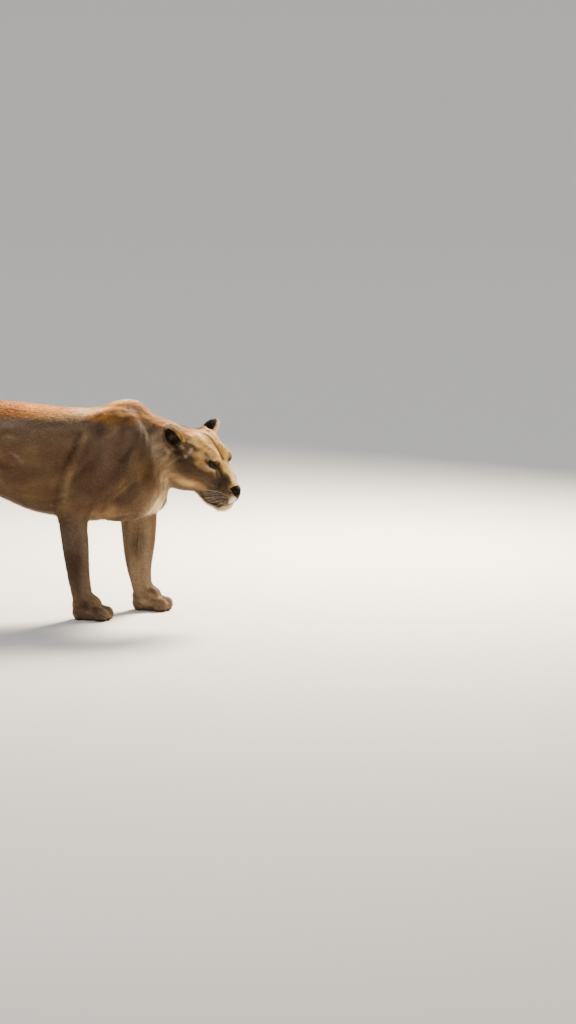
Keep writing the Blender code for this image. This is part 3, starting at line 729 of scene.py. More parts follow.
# %% Cups of the ears
EARS = {  # side: root, way to the tip and way out of the opening, in the head's frame
    1: ((0.018, 0.078, 0.008), (-0.02, 0.085, 0.056), (0.3, 0.85, 0.09)),
    -1: ((0.012, -0.082, 0.012), (-0.08, -0.052, 0.076), (0.69, -0.63, 0.25)),
}
CUP_AT, CUP_HALF, CUP_DEPTH = 0.056, (0.037, 0.055), 0.016
EAR_EDGE = ((-0.052, 0.116, 0.075), (0.026, 0.092, 0.02))  # the front edge of her turned ear


def ear_axes(side):
    _, tip, opening = (np.array(value) for value in EARS[side])
    up = unit(tip)
    out = unit(opening - up * (opening @ up))
    return np.stack((out, np.cross(up, out), up))


def in_ear(points, side):
    return (in_head(points) - EARS[side][0]) @ ear_axes(side).T


def cup_place(points, side):
    """How far out from the cup's middle, where 1 is its rim, and how far the surface looks out of it."""
    place = in_ear(points, side)
    out = np.hypot(place[:, 1] / CUP_HALF[0], (place[:, 2] - CUP_AT) / CUP_HALF[1])
    facing = normals_of(points, triangles) @ turn @ ear_axes(side)[0]
    return np.where(ellipsoid(place, (0, 0, 0.055), (0.06, 0.06, 0.08)) < 1, out, 9), facing


def over_ear(points):
    """1 on the upper front of her turned ear, where long hair lies across the cup, and 0 below."""
    local = in_head(points)
    (back, _, high), (front, _, low) = EAR_EDGE
    edge_line = high + (local[:, 0] - back) * (low - high) / (front - back)
    return step(-0.003, 0.005, local[:, 2] - edge_line) * (local[:, 1] < 0)


for ear_side in EARS:
    out, facing = cup_place(points, ear_side)
    deeper = CUP_DEPTH * np.clip(1 - out**2, 0, 1) * step(0.1, 0.6, facing) * (1 - over_ear(points))
    points = points - deeper[:, None] * (turn @ ear_axes(ear_side)[0])
points[:, 2] = np.maximum(points[:, 2], 0)
set_points(skin.data, points)
print("cups pressed", CUP_DEPTH)

# %% [markdown]
# With the modelling done, the skin can be lighter. Flat places lose most of their vertices, and the lids,
# nose and lips keep theirs.

# %% A lighter skin
SKIN_TRIANGLES = 170000
local = folded(in_head(points))
off_mouth, _ = line_distance(local, np.zeros_like(local), MOUTH)
detail = (ellipsoid(local, EYE, (0.03, 0.03, 0.028)) < 1) | (nose_pad(local) > 0.1) | (off_mouth < 0.005)
light = skin.vertex_groups.new(name="light")
light.add(np.nonzero(~detail)[0].tolist(), 1.0, "REPLACE")
triangles = triangles_of(skin.data)
held = int(detail[triangles].all(axis=1).sum())
applied(skin, ("DECIMATE", {"ratio": SKIN_TRIANGLES / len(triangles), "vertex_group": "light"}))
skin.vertex_groups.clear()
points, edges, triangles = points_of(skin.data), edges_of(skin.data), triangles_of(skin.data)
normals = normals_of(points, triangles)
skin.data.shade_smooth()
print("skin now has", len(triangles), "triangles, of which held", held)

# %% [markdown]
# Places on the body are given as (ahead of the hump, out from the middle, height), the same for both sides,
# and places on the head in its own frame. These masks say where each part of her is; the lie of the coat,
# its length and its colours all use them.

# %% Where things are
local = folded(in_head(points))
body = np.stack((points[:, 0] - hump.x, np.abs(points[:, 1]), points[:, 2]), axis=1)
height = points[:, 2]
way_up = normals[:, 2]
face_way = normals @ turn * mirror(in_head(points))
tail_from = cad_low.x + 0.315 - 0.045 * step(0.68, 0.62, height)  # further back where the hock is near it
on_tail = step(0.012, -0.012, points[:, 0] - tail_from)
on_head = head_mask(points)
on_legs = step(0.47, 0.38, height) * step(0.035, 0.06, body[:, 1]) * (1 - on_tail) * (1 - on_head)
on_paws = step(0.125, 0.085, height) * (1 - on_tail)
ear_cup, ear_rim, ear_back, rim_front = (np.zeros(len(points)) for _ in range(4))
for ear_side in EARS:
    out, facing = cup_place(points, ear_side)
    place = in_ear(points, ear_side)
    on_ear = step(1.05, 0.95, ellipsoid(place, (0, 0, 0.056), (0.042, 0.048, 0.066)))
    on_ear *= step(0.01, 0.02, place[:, 2])
    on_ear *= np.sign(points[:, 1] - pivot[1] + 0.46 * (points[:, 0] - pivot[0])) * ear_side > 0
    ear_cup = np.maximum(ear_cup, step(1.02, 0.85, out) * step(0.15, 0.45, facing) * on_ear)
    ear_rim = np.maximum(ear_rim, on_ear * step(0.8, 0.95, out) * step(-0.45, 0.0, facing))
    ear_back = np.maximum(ear_back, on_ear * step(0.05, -0.3, facing))
    rim_front = np.maximum(rim_front, on_ear * step(-0.012, 0.008, -ear_side * place[:, 1]))
bare = nose_pad(local)
reach, edge = lid_place(local)
off_mouth, _ = line_distance(local, face_way, MOUTH)
print("masks for", len(points), "vertices; ear cup", round(float(ear_cup.sum())))

# %% [markdown]
# The coat's lie is a direction on every vertex. It's set at places all over her and weighted between
# them, then laid flat on the surface and relaxed. On a lioness the hair runs from the nose back over the
# head, along the body and down the legs, and the hair of the chest hangs.

# %% The lie of the coat
BODY_LIE = (  # place, way
    ((-0.93, 0.03, 0.85), (-0.9, 0.1, -0.4)), ((-0.87, 0.12, 0.74), (-0.6, 0.1, -0.8)),
    ((-0.6, 0.0, 0.87), (-1, 0, -0.03)), ((-0.3, 0.0, 0.86), (-1, 0, 0.0)),
    ((0.0, 0.0, 0.91), (-1, 0, -0.05)), ((-0.12, 0.03, 0.89), (-1, 0, -0.15)),
    ((0.15, 0.0, 0.87), (-1, 0, 0.25)), ((0.24, 0.02, 0.81), (-1, 0, 0.3)),
    ((-0.6, 0.17, 0.68), (-1, 0, -0.35)), ((-0.4, 0.18, 0.66), (-1, 0, -0.3)),
    ((-0.22, 0.18, 0.68), (-1, 0, -0.35)), ((-0.55, 0.12, 0.5), (-1, 0, -0.05)),
    ((-0.28, 0.12, 0.46), (-1, 0, 0.02)), ((-0.45, 0.0, 0.46), (-1, 0, 0.0)),
    ((-0.72, 0.12, 0.58), (-0.8, 0, -0.6)), ((-0.76, 0.17, 0.66), (-0.5, 0, -0.9)),
    ((-0.72, 0.15, 0.5), (-0.2, 0, -1)), ((0.0, 0.17, 0.76), (-0.55, 0, -0.8)),
    ((0.02, 0.16, 0.62), (-0.3, 0, -1)), ((-0.12, 0.16, 0.52), (-0.25, 0, -1)),
    ((-0.17, 0.16, 0.62), (-0.8, 0, -0.6)), ((-0.22, 0.14, 0.5), (-0.9, 0, -0.3)),
    ((0.13, 0.06, 0.6), (-0.15, 0, -1)), ((0.15, 0.05, 0.5), (-0.1, 0, -1)),
    ((0.05, 0.0, 0.42), (-0.6, 0, -0.6)), ((0.14, 0.11, 0.76), (-0.8, 0, -0.6)),
    ((0.2, 0.1, 0.68), (-0.6, 0, -0.8)), ((0.22, 0.02, 0.57), (-0.6, 0, -0.8)),
    ((0.28, 0.0, 0.56), (-0.8, 0, -0.6)),
)  # fmt: skip
HEAD_LIE = (
    ((0.29, 0.0, -0.04), (-1, 0, 0.3)), ((0.24, 0.0, -0.01), (-1, 0, 0.45)),
    ((0.17, 0.0, 0.03), (-0.9, 0, 0.5)), ((0.12, 0.02, 0.065), (-1, 0.1, 0.3)),
    ((0.04, 0.02, 0.08), (-1, 0, 0.0)), ((0.165, 0.055, 0.045), (-0.7, 0.5, 0.5)),
    ((0.13, 0.075, 0.01), (-1, 0.3, -0.1)), ((0.165, 0.065, -0.02), (-0.7, 0.5, -0.5)),
    ((0.22, 0.05, -0.05), (-0.85, 0.25, -0.5)), ((0.26, 0.045, -0.11), (-0.7, 0.3, -0.7)),
    ((0.295, 0.015, -0.09), (-0.2, 0.7, -0.7)), ((0.1, 0.09, -0.04), (-1, 0.1, -0.35)),
    ((0.09, 0.08, -0.11), (-0.95, 0, -0.35)), ((0.17, 0.05, -0.155), (-1, 0, -0.15)),
    ((0.27, 0.02, -0.16), (-0.6, 0.1, -0.8)), ((0.2, 0.0, -0.18), (-1, 0, -0.1)),
    ((0.06, 0.09, 0.04), (-1, 0.2, -0.05)),
)  # fmt: skip
TAIL_LINE = np.array((
    (-0.86, 0.0, 0.854), (-0.95, 0.0, 0.841), (-1.03, 0.004, 0.766), (-1.07, 0.014, 0.636),
    (-1.085, 0.029, 0.476), (-1.1, 0.044, 0.326), (-1.135, 0.059, 0.216), (-1.19, 0.069, 0.161),
    (-1.25, 0.074, 0.146), (-1.3, 0.077, 0.151),
)) + np.array((hump.x, 0, 0))  # fmt: skip
SPREAD = 0.035


def weighted_way(places, guides):
    total = np.zeros_like(places)
    for place, way in guides:
        off = ((places - np.array(place)) ** 2).sum(axis=1)
        total += unit(np.array(way)) / ((off + SPREAD**2) ** 2)[:, None]
    return units(total)


def blended(values, share, other):
    return values + (other - values) * np.asarray(share)[:, None]


def laid_flat(ways):
    return units(ways - normals * (ways * normals).sum(axis=1, keepdims=True))


lie = weighted_way(body, BODY_LIE) * mirror(points)
lie = blended(lie, on_head, (weighted_way(local, HEAD_LIE) * mirror(in_head(points))) @ turn.T)
lie = blended(lie, on_legs, np.array((-0.1, 0, -1.0)))
lie = blended(lie, on_paws, np.array((0.85, 0, -0.5)))
nearest = np.argmin(np.linalg.norm(points[:, None] - (TAIL_LINE[:-1] + TAIL_LINE[1:]) / 2, axis=2), axis=1)
lie = blended(lie, on_tail, units(np.diff(TAIL_LINE, axis=0))[nearest])
for ear_side in EARS:
    place = in_ear(points, ear_side)
    share = step(1.0, 0.9, ellipsoid(place, (0, 0, 0.056), (0.042, 0.05, 0.068)))
    share *= step(0.005, 0.025, place[:, 2])
    lie = blended(lie, share, turn @ ear_axes(ear_side)[2])
lie = laid_flat(relaxed(laid_flat(lie), edges, 0.5, 6))
print("lie set at", len(BODY_LIE) + len(HEAD_LIE), "places")

# %% [markdown]
# The hair's length follows the body too. It's a few millimetres long on the face and paws, about 15 mm on
# the body, and longer on the crest, throat, chest and belly. `lift` is the angle, in radians, that each
# tuft starts at.

# %% How long the coat is and how it stands
def at_body(centre, radii, power=1):
    return mound(body, centre, radii) ** power


def at_head(centre, radii, power=1):
    return mound(local, centre, radii) ** power


on_crest = (
    step(0.055, 0.02, body[:, 1]) * step(0.3, 0.7, way_up) * step(-0.1, 0.02, body[:, 0]) * (1 - on_head)
)
on_neck = step(0.03, 0.1, body[:, 0]) * (1 - on_head) * (height > 0.4)
on_belly = (
    step(0.1, -0.35, way_up) * step(-0.72, -0.62, body[:, 0]) * step(0.02, -0.05, body[:, 0])
    * step(0.38, 0.42, height)
)
on_chest = at_body((0.13, 0.0, 0.5), (0.13, 0.16, 0.16), 0.5)
on_throat = at_body((0.24, 0.0, 0.58), (0.12, 0.14, 0.12), 0.5)
on_cheek = at_head((0.075, 0.085, -0.06), (0.08, 0.06, 0.09), 0.5)
on_chin = at_head((0.262, 0.0, -0.16), (0.06, 0.06, 0.04), 0.5)
on_jaw = at_head((0.19, 0.03, -0.165), (0.09, 0.07, 0.05), 0.5)
on_elbow = at_body((-0.215, 0.13, 0.49), (0.06, 0.06, 0.08))
nose_end = step(0.1, 0.28, local[:, 0]) * on_head
tail_tuft = step(0.26, 0.18, height) * on_tail

coat_length = np.full(len(points), 0.0145)
lift = np.full(len(points), 0.13)
for share, long, stands in (
    (on_neck, 0.018, 0.14), (on_crest, 0.019, 0.16), (on_belly, 0.02, 0.18), (on_chest, 0.026, 0.13),
    (on_throat, 0.017, 0.14), (on_elbow, 0.02, 0.2), (on_legs, 0.011, 0.13), (on_paws, 0.0075, 0.16),
    (on_tail, 0.013, 0.16), (tail_tuft, 0.03, 0.3), (on_head, 0.008, 0.15), (on_cheek, 0.011, 0.2),
    (nose_end, 0.004, 0.14), (on_chin, 0.012, 0.5), (on_jaw, 0.012, 0.36), (ear_back, 0.006, 0.15),
    (ear_cup, 0.008, 0.25), (ear_rim, 0.0085, 0.25),
    (step(0.42, 0.78, way_up) * (1 - on_head) * (height > 0.7), 0.015, 0.08),
):  # fmt: skip
    coat_length += (long - coat_length) * share
    lift += (stands - lift) * share
near_opening = step(0.03, 0.02, reach) * step(0.9, 0.0, edge)
coat_length += (0.003 - coat_length) * near_opening
lift += (0.08 - lift) * near_opening
covered = (
    (1 - step(0.2, 0.6, bare)) * (1 - step(0.05, 0.0, edge) * (reach < 0.034))
    * step(0.0016, 0.004, off_mouth)
)
covered *= step(0.004, 0.01, height)
print("coat from", coat_length.min().round(4), "to", coat_length.max().round(4), "m long")

# %% [markdown]
# A lioness is plainly coloured, but no two hands' breadths of her are the same. The back, neck and crown
# are golden tawny, the sides browner and greyer, and the belly, chest, chin and inner legs pale. Part of this
# is painted light: what faces up on her back and crown is painted brighter, as light from above, and her
# sides are painted darker, as shade. Her colour starts as the flank's, shade and all, and each mark is
# painted over it: a table has a row for each mark, with how strong it is, where, and its colour. A mark is a
# soft mound on the body or the head, or a soft line along a path.

# %% Colours and brushes
# The flank's colour is her sides' own browner tone, darkened further as painted shade.
SHADED_FLANK, GREY, LEG = (0.142, 0.083, 0.045), (0.245, 0.172, 0.108), (0.138, 0.096, 0.065)
# The back, gold and forehead colours are painted light: brighter than her own tawny, as if lit from above.
LIT_BACK, LIT_GOLD, LIT_FOREHEAD = (0.7, 0.275, 0.044), (0.42, 0.172, 0.032), (0.98, 0.585, 0.185)
PALE, CREAM, WHITE = (0.26, 0.155, 0.075), (0.68, 0.5, 0.3), (0.9, 0.82, 0.7)
# The second of these, for the cups of the ears, is painted shade in their hollows.
UMBER, EAR_CUP_SHADE, BLACK = (0.045, 0.026, 0.015), (0.012, 0.008, 0.005), (0.006, 0.004, 0.003)
colour = np.tile(SHADED_FLANK, (len(points), 1))
on_right = step(0.0, -0.02, points[:, 1])


def paint(share, shade):
    """Lays a colour over the coat by its share on each vertex, from 0 to 1."""
    colour[:] = blended(colour, share, shade)


def paint_all(form, rows):
    """Paints rows of (share, what the form takes, colour), each over the one before."""
    for share, *shape, shade in rows:
        paint(share * form(*shape), shade)


def stroke(path, width):
    """A soft stroke along a path on her side, given as (ahead of the hump, height)."""
    flat = np.stack((body[:, 0], np.zeros(len(points)), body[:, 2]), axis=1)
    off, _ = line_distance(flat, np.zeros_like(flat), [(x, 0, z) for x, z in path])
    return bell(off, width) * step(0.02, 0.05, body[:, 1]) * (1 - on_head)


def face_line(path, width):
    """A soft line along a path on the face, in the head's frame."""
    off, _ = line_distance(local, face_way, path)
    return bell(off, width) * on_head


print("base colour", SHADED_FLANK)

# %% [markdown]
# First the back, hump and shoulder. Where her back and neck face up they are painted golden and bright,
# partly her own tawny and partly painted light from above, and this lit band ends in a soft edge along the
# top of her side, lower over the neck. Under it are a pale strip at the rear, painted as the lit edge where
# light turns to shade, the dark streaks of the crest, and the darker and lighter hair over the muscles. In
# the fold behind the upper arm lies a dark line of painted shade, with a painted highlight along the arm's
# edge in front.

# %% Paint the back and shoulder
LIT_HEIGHT = 0.85
CREST_STREAKS = (  # path as (ahead of the hump, height), width
    (((-0.09, 0.835), (-0.04, 0.852), (0.04, 0.85), (0.13, 0.815)), 0.011),
    (((-0.06, 0.868), (0.01, 0.872), (0.06, 0.858)), 0.006),
    (((0.02, 0.885), (0.09, 0.862), (0.16, 0.835), (0.22, 0.815)), 0.007),
    (((-0.11, 0.85), (-0.08, 0.862)), 0.006),
)
lit_edge = LIT_HEIGHT - 0.018 * step(-0.18, -0.06, body[:, 0]) - 0.055 * step(0.08, 0.2, body[:, 0])
# The lit band: painted light on what faces up along the top of her back and neck.
lit_top = step(-0.022, 0.018, height - lit_edge) * step(0.25, 0.6, way_up) * (1 - on_tail)
paint(0.52 * step(0.68, 0.84, height) * (1 - on_head), GREY)
paint(0.92 * lit_top, LIT_BACK)
paint(0.75 * lit_top * step(-0.1, 0.02, body[:, 0]), LIT_GOLD)
# A pale strip under the lit band at the rear, painted as the edge between light and shade.
paint(0.8 * at_body((-0.56, 0.11, 0.828), (0.21, 0.09, 0.034), 0.5) * (1 - lit_top), (0.5, 0.39, 0.29))
paint_all(at_body, (  # share, centre, radii, power, colour
    (0.82, (-0.15, 0.05, 0.875), (0.12, 0.09, 0.055), 0.7, (0.8, 0.56, 0.31)),
    (0.92, (0, 0, 0.925), (0.11, 0.06, 0.045), 0.6, (0.96, 0.67, 0.31)),
))  # fmt: skip
paint_all(stroke, [(0.8, path, width, (0.135, 0.062, 0.024)) for path, width in CREST_STREAKS])
paint_all(stroke, (
    (0.6, ((-0.01, 0.862), (0.07, 0.852), (0.14, 0.825)), 0.007, (0.62, 0.3, 0.07)),
    (0.5, ((-0.09, 0.826), (-0.02, 0.838), (0.05, 0.834), (0.1, 0.815)), 0.009, (0.19, 0.098, 0.046)),
))  # fmt: skip
paint_all(at_body, (
    (0.6, (-0.03, 0.14, 0.71), (0.115, 0.1, 0.13), 0.7, (0.25, 0.16, 0.096)),
    (0.75, (-0.1, 0.14, 0.8), (0.05, 0.1, 0.045), 0.7, (0.075, 0.042, 0.034)),
))  # fmt: skip
# Painted shade in the fold behind the upper arm, and a painted highlight along the arm's edge in front of it.
ELBOW_FOLD_SHADE = ((-0.176, 0.783), (-0.197, 0.731), (-0.229, 0.672), (-0.252, 0.611), (-0.266, 0.555))
ARM_EDGE_HIGHLIGHT = ((-0.15, 0.775), (-0.172, 0.715), (-0.204, 0.65), (-0.229, 0.57), (-0.239, 0.51))
paint_all(stroke, (
    (0.5, ((0, 0.815), (0, 0.75), (-0.035, 0.66), (-0.052, 0.57)), 0.026, (0.115, 0.07, 0.048)),
    (0.45, ((-0.13, 0.8), (-0.165, 0.72), (-0.205, 0.65)), 0.02, (0.115, 0.068, 0.042)),
    (0.8, ELBOW_FOLD_SHADE, 0.011, (0.042, 0.021, 0.012)),
    (0.6, ARM_EDGE_HIGHLIGHT, 0.011, (0.3, 0.185, 0.095)),
))  # fmt: skip
print("back and shoulder painted; golden hair on", round(float(lit_top.mean()), 3), "of the vertices")

# %% [markdown]
# Then the neck, breast, belly, legs and tail. Her legs are greyer than her sides, and paler inside. Some
# marks are on one side only, as on any real animal.

# %% Paint the rest of the body
inner = np.where(points[:, 1] < 0, normals[:, 1], -normals[:, 1])
low_side = step(0.6, 0.44, height) * (1 - on_head)
FLANK_SCARS = (
    ((-0.475, 0.78), (-0.44, 0.768)), ((-0.45, 0.715), (-0.418, 0.68)),
    ((-0.515, 0.655), (-0.485, 0.612)), ((-0.545, 0.7), (-0.52, 0.672)),
)  # fmt: skip
paint_all(at_body, (
    (0.4, (0.085, 0.15, 0.64), (0.07, 0.1, 0.07), (0.22, 0.105, 0.04)),
    (0.75, (0.15, 0.1, 0.74), (0.085, 0.1, 0.085), 0.5, (0.39, 0.278, 0.178)),
    (0.65, (0.18, 0.1, 0.63), (0.07, 0.1, 0.08), 0.5, (0.42, 0.27, 0.14)),
))  # fmt: skip
paint(0.8 * low_side * (1 - on_legs) * step(-0.22, -0.32, body[:, 0]), (0.074, 0.04, 0.018))
paint(0.12 * on_belly, PALE)
# A painted highlight low on the side of the chest, and painted shade along its underside between the forelegs.
paint_all(at_body, (
    (0.75, (-0.06, 0.14, 0.462), (0.11, 0.1, 0.06), 0.7, (0.34, 0.205, 0.095)),
    (0.7, (0.01, 0.1, 0.432), (0.12, 0.14, 0.028), 0.7, (0.06, 0.034, 0.02)),
))  # fmt: skip
paint(0.9 * on_chest * step(-0.02, 0.06, body[:, 0]) * step(0.435, 0.47, height), CREAM)
paint(0.4 * on_throat, CREAM)
paint(0.85 * on_legs, LEG)
paint(0.5 * on_legs * (1 - on_right), (0.165, 0.135, 0.105))
paint(0.55 * on_legs * step(0.2, 0.8, inner), (0.3, 0.2, 0.115))
paint(0.5 * on_elbow, UMBER)
paint(0.4 * at_body((-0.13, 0.16, 0.52), (0.11, 0.08, 0.09), 0.7), (0.085, 0.048, 0.026))
paint(0.75 * on_right * at_body((-0.205, 0.15, 0.235), (0.07, 0.08, 0.11), 0.7), (0.06, 0.032, 0.02))
paint(0.8 * (1 - on_right) * at_body((0.045, 0.09, 0.295), (0.045, 0.06, 0.055), 0.7), (0.045, 0.028, 0.02))
paint(0.45 * (1 - on_right) * at_body((0.115, 0.12, 0.38), (0.04, 0.08, 0.11), 0.7), (0.21, 0.105, 0.045))
paint(0.3 * on_paws, PALE)
paint(
    0.5 * step(0.2, -0.05, inner) * step(-0.35, -0.6, body[:, 0]) * step(0.6, 0.68, height),
    (0.15, 0.08, 0.034)
)
paint(0.45 * at_body((-0.457, 0.17, 0.725), (0.055, 0.06, 0.06)), (0.115, 0.062, 0.046))
for scar in FLANK_SCARS:
    paint(0.55 * on_right * stroke(scar, 0.0035), (0.34, 0.24, 0.16))
paint(0.7 * on_tail, (0.26, 0.135, 0.05))
paint(tail_tuft, (0.03, 0.017, 0.01))
print("body painted, mean colour", colour.mean(axis=0).round(3))

# %% [markdown]
# The face has the most marks. They are laid from the large to the small: the golden forehead, painted
# bright where it faces up as light from above, with painted shade in its furrow, and its bands; the dark
# cheek and muzzle, with painted shade over the top of the muzzle's side; the pale bridge with a painted
# highlight, the lip and chin; painted shade in the inner corner of the eye; and then the lines round the eye
# and mouth and a dark point at the root of each whisker.

# %% Paint the face
SHADED_FURROW = ((0.03, 0, 0.086), (0.1, 0, 0.072), (0.15, 0, 0.048), (0.176, 0, 0.034))
TEAR_LINE = (
    (0.184, 0.042, 0.01), (0.202, 0.036, -0.004), (0.216, 0.038, -0.02), (0.224, 0.044, -0.04),
    (0.226, 0.047, -0.066)
)
OUTER_CORNER = ((0.134, 0.078, 0.018), (0.142, 0.076, 0.015), (0.15, 0.074, 0.012))
UNDER_EYE = ((0.148, 0.078, 0.006), (0.158, 0.074, 0.001), (0.171, 0.062, -0.0055), (0.186, 0.05, -0.0095))
BAND_SPACING = 0.017
WHISKER_ROWS, WHISKERS_IN_ROW = 4, 6


def whisker_places():
    """(row, spot, place) of each whisker on her left lip, in the head's frame."""
    for row in range(WHISKER_ROWS):
        for spot in range(WHISKERS_IN_ROW):
            yield row, spot, (0.282 - 0.011 * spot, 0.026 + 0.0048 * spot, -0.082 - 0.0095 * row)


paint(0.9 * on_head, (0.125, 0.08, 0.042))
# Painted light: the head is bright golden where it faces up, as if lit from above, over its own tawny.
paint(on_head * step(0.2, 0.6, face_way[:, 2]), LIT_FOREHEAD)
# Painted shade along the furrow down the forehead.
paint(0.85 * face_line(SHADED_FURROW, 0.01), (0.135, 0.06, 0.02))
bands = 0.5 + 0.5 * np.cos((local[:, 0] + 0.6 * local[:, 1] + 0.3 * local[:, 2]) * 2 * math.pi / BAND_SPACING)
paint(0.65 * bands * at_head((0.112, 0.032, 0.066), (0.06, 0.045, 0.05), 0.5), (0.22, 0.1, 0.03))
paint_all(at_head, (  # share, centre, radii, power, colour
    (0.8, (0.115, 0.088, -0.03), (0.095, 0.06, 0.052), 0.6, (0.056, 0.035, 0.021)),  # cheek
    (0.78, (0.168, 0.07, -0.034), (0.05, 0.045, 0.03), 0.5, (0.085, 0.054, 0.033)),  # under the eye
    (0.5, (0.135, 0.08, -0.076), (0.06, 0.05, 0.022), 0.7, (0.165, 0.066, 0.026)),
    (0.85, (0.105, 0.075, -0.112), (0.11, 0.06, 0.036), 0.6, (0.66, 0.39, 0.16)),  # jaw
    (0.94, (0.24, 0.044, -0.052), (0.066, 0.046, 0.078), 0.45, (0.06, 0.042, 0.03)),  # side of the muzzle
    # painted shade over the top of the muzzle's side
    (0.9, (0.234, 0.032, -0.022), (0.05, 0.018, 0.034), 0.45, (0.022, 0.015, 0.011)),
    (0.88, (0.236, 0.056, -0.116), (0.062, 0.05, 0.044), 0.4, (0.062, 0.041, 0.026)),  # whisker pad
    (0.8, (0.2, 0.06, -0.1), (0.026, 0.04, 0.05), 0.5, (0.105, 0.068, 0.04)),
    # bridge: pale, with a painted highlight on it
    (0.95, (0.25, 0, -0.014), (0.062, 0.021, 0.05), 0.35, (0.92, 0.67, 0.38)),  # bridge
    (0.8, (0.262, 0.042, -0.078), (0.024, 0.026, 0.034), 0.5, (0.085, 0.058, 0.039)),  # beside the nose
    (0.95, (0.297, 0.014, -0.094), (0.028, 0.03, 0.026), 0.35, WHITE),  # lip under the nose
    (0.95, (0.25, 0, -0.18), (0.085, 0.08, 0.036), 0.3, (0.88, 0.67, 0.4)),  # chin
    (0.9, (0.288, 0.01, -0.14), (0.034, 0.04, 0.032), 0.35, (0.8, 0.61, 0.37)),
    (0.6, (0.18, 0.02, -0.175), (0.09, 0.07, 0.045), 0.5, CREAM),
    (0.9, (0.14, 0.068, 0.031), (0.036, 0.018, 0.011), 0.5, (0.5, 0.34, 0.19)),  # over the eye
    (0.6, (0.168, 0.048, 0.041), (0.022, 0.02, 0.009), 0.6, (0.46, 0.29, 0.14)),
    # painted shade in the inner corner of the eye, by the bridge
    (0.88, (0.193, 0.041, 0.012), (0.028, 0.024, 0.032), 0.32, (0.046, 0.028, 0.021)),  # corner of the eye
))  # fmt: skip
paint(0.95 * face_line(TEAR_LINE, 0.0085), (0.034, 0.021, 0.013))
eyelids = step(0.76, 0.36, edge) * (reach < 0.03) * ((local - EYE) @ OPENING_AT > 0)
paint(0.97 * eyelids, BLACK)
paint_all(face_line, (  # share, path, width, colour
    (0.9, OUTER_CORNER, 0.0045, (0.03, 0.017, 0.01)),
    (0.95, UNDER_EYE, 0.003, (0.8, 0.68, 0.54)),
    (0.95, MOUTH[:5] + np.array((0, 0, -0.002)), 0.0085, (0.022, 0.011, 0.007)),
    (0.95, MOUTH, 0.005, (0.026, 0.013, 0.008)),
    (0.85, MOUTH, 0.004, BLACK),
))  # fmt: skip
paint_all(
    at_head,
    [(0.75, place, (0.0026, 0.008, 0.0022), (0.025, 0.015, 0.01)) for _, _, place in whisker_places()]
)
print("face painted")

# %% [markdown]
# The ears are nearly black behind, with a pale front edge, and their cups are painted near black as shade
# in the hollows. The fold in front of each ear gets a pale painted highlight along its ridge. The bare
# leather and the soles are dark too.

# %% Paint the ears, nose and soles
BEFORE_EAR = ((0.068, 0.083, 0.036), (0.067, 0.088, 0.014), (0.058, 0.092, -0.008))  # at the ear's front foot
ear_root = np.minimum(*(np.linalg.norm(in_ear(points, ear_side), axis=1) for ear_side in EARS))
right_half = points[:, 1] < pivot[1]
edge_off, _ = line_distance(in_head(points) * OTHER_SIDE, face_way, EAR_EDGE)
paint(0.98 * ear_back * step(0.022, 0.045, ear_root), BLACK)
# Painted shade inside the cups of the ears.
paint(0.97 * ear_cup, EAR_CUP_SHADE)
paint(0.9 * ear_rim, (0.13, 0.075, 0.038))
paint(0.95 * ear_rim * rim_front, (0.8, 0.62, 0.38))
paint(0.95 * np.maximum(ear_cup, ear_rim * rim_front) * over_ear(points), (0.46, 0.25, 0.07))
paint(0.92 * ear_rim * step(0.066, 0.08, local[:, 2]) * right_half, (0.74, 0.58, 0.34))
paint(0.95 * bell(edge_off, 0.0055) * right_half, (0.78, 0.62, 0.36))
paint(
    0.92 * at_head((0.014, 0.096, -0.002), (0.024, 0.03, 0.028), 0.35) * (1 - ear_rim), (0.02, 0.012, 0.008)
)
paint(0.85 * face_line(BEFORE_EAR, 0.0036), (0.62, 0.5, 0.36))
# A painted highlight along the ridge of the fold in front of each ear.
paint(0.9 * face_line(EAR_FOLD, 0.0055), (0.8, 0.56, 0.28))
paint(step(0.2, 0.6, bare), (0.012, 0.008, 0.006))
paint(step(0.012, 0.004, height), (0.014, 0.01, 0.008))
print("ears painted")

# %% [markdown]
# At last the whole coat gets streaks that follow its lie. Random values are spread along it, each vertex
# taking from the neighbours that lie the same way.

# %% Streak the coat
def streaks(seed, rounds):
    """Random values with a spread of 1 that run along the lie of the coat."""
    values = np.random.default_rng(seed).normal(size=len(points))
    a, b = edges[:, 0], edges[:, 1]
    along = np.abs((units(points[b] - points[a]) * (lie[a] + lie[b])).sum(axis=1) / 2) ** 8 + 0.01
    weight = neighbours_sum(np.ones(len(points)), edges, along)
    for _ in range(rounds):
        values = 0.3 * values + 0.7 * neighbours_sum(values, edges, along) / weight
    return np.clip((values - values.mean()) / values.std(), -2.5, 2.5)


broad, thin = streaks(11, 24), streaks(12, 8)
strength = 0.17 + 0.07 * on_chest + 0.05 * on_neck + 0.06 * on_crest
colour *= 1 + (strength * broad + 0.1 * thin)[:, None] * (1 - 0.3 * on_head)[:, None]
colour = np.clip(colour * (1 + np.outer(0.05 * broad, (0.2, 0.0, -0.6))), 0.004, 0.9)
print("mean colour", colour.mean(axis=0).round(3))

# %% [markdown]
# One group of nodes colours both the skin and the tufts, so that the same marks show on both. It takes the
# colour of the coat at the place, turns it a little lighter or darker over a hand's breadth, and darkens
# each tuft's root. The patterns are in object space, so they neither stretch nor show a seam.

# %% Materials of the coat
def add_node(tree, kind, inputs=(), **values):
    """A node of the kind, with its properties and inputs set."""
    made = tree.nodes.new(kind)
    for key, value in values.items():
        setattr(made, key, value)
    set_inputs(tree, made, inputs)
    return made


def result(tree, kind, inputs=(), output=0, **values):
    """An output of a node of the kind."""
    return add_node(tree, kind, inputs, **values).outputs[output]


def attribute(tree, name, output):
    return result(tree, "ShaderNodeAttribute", (), output, attribute_name=name)


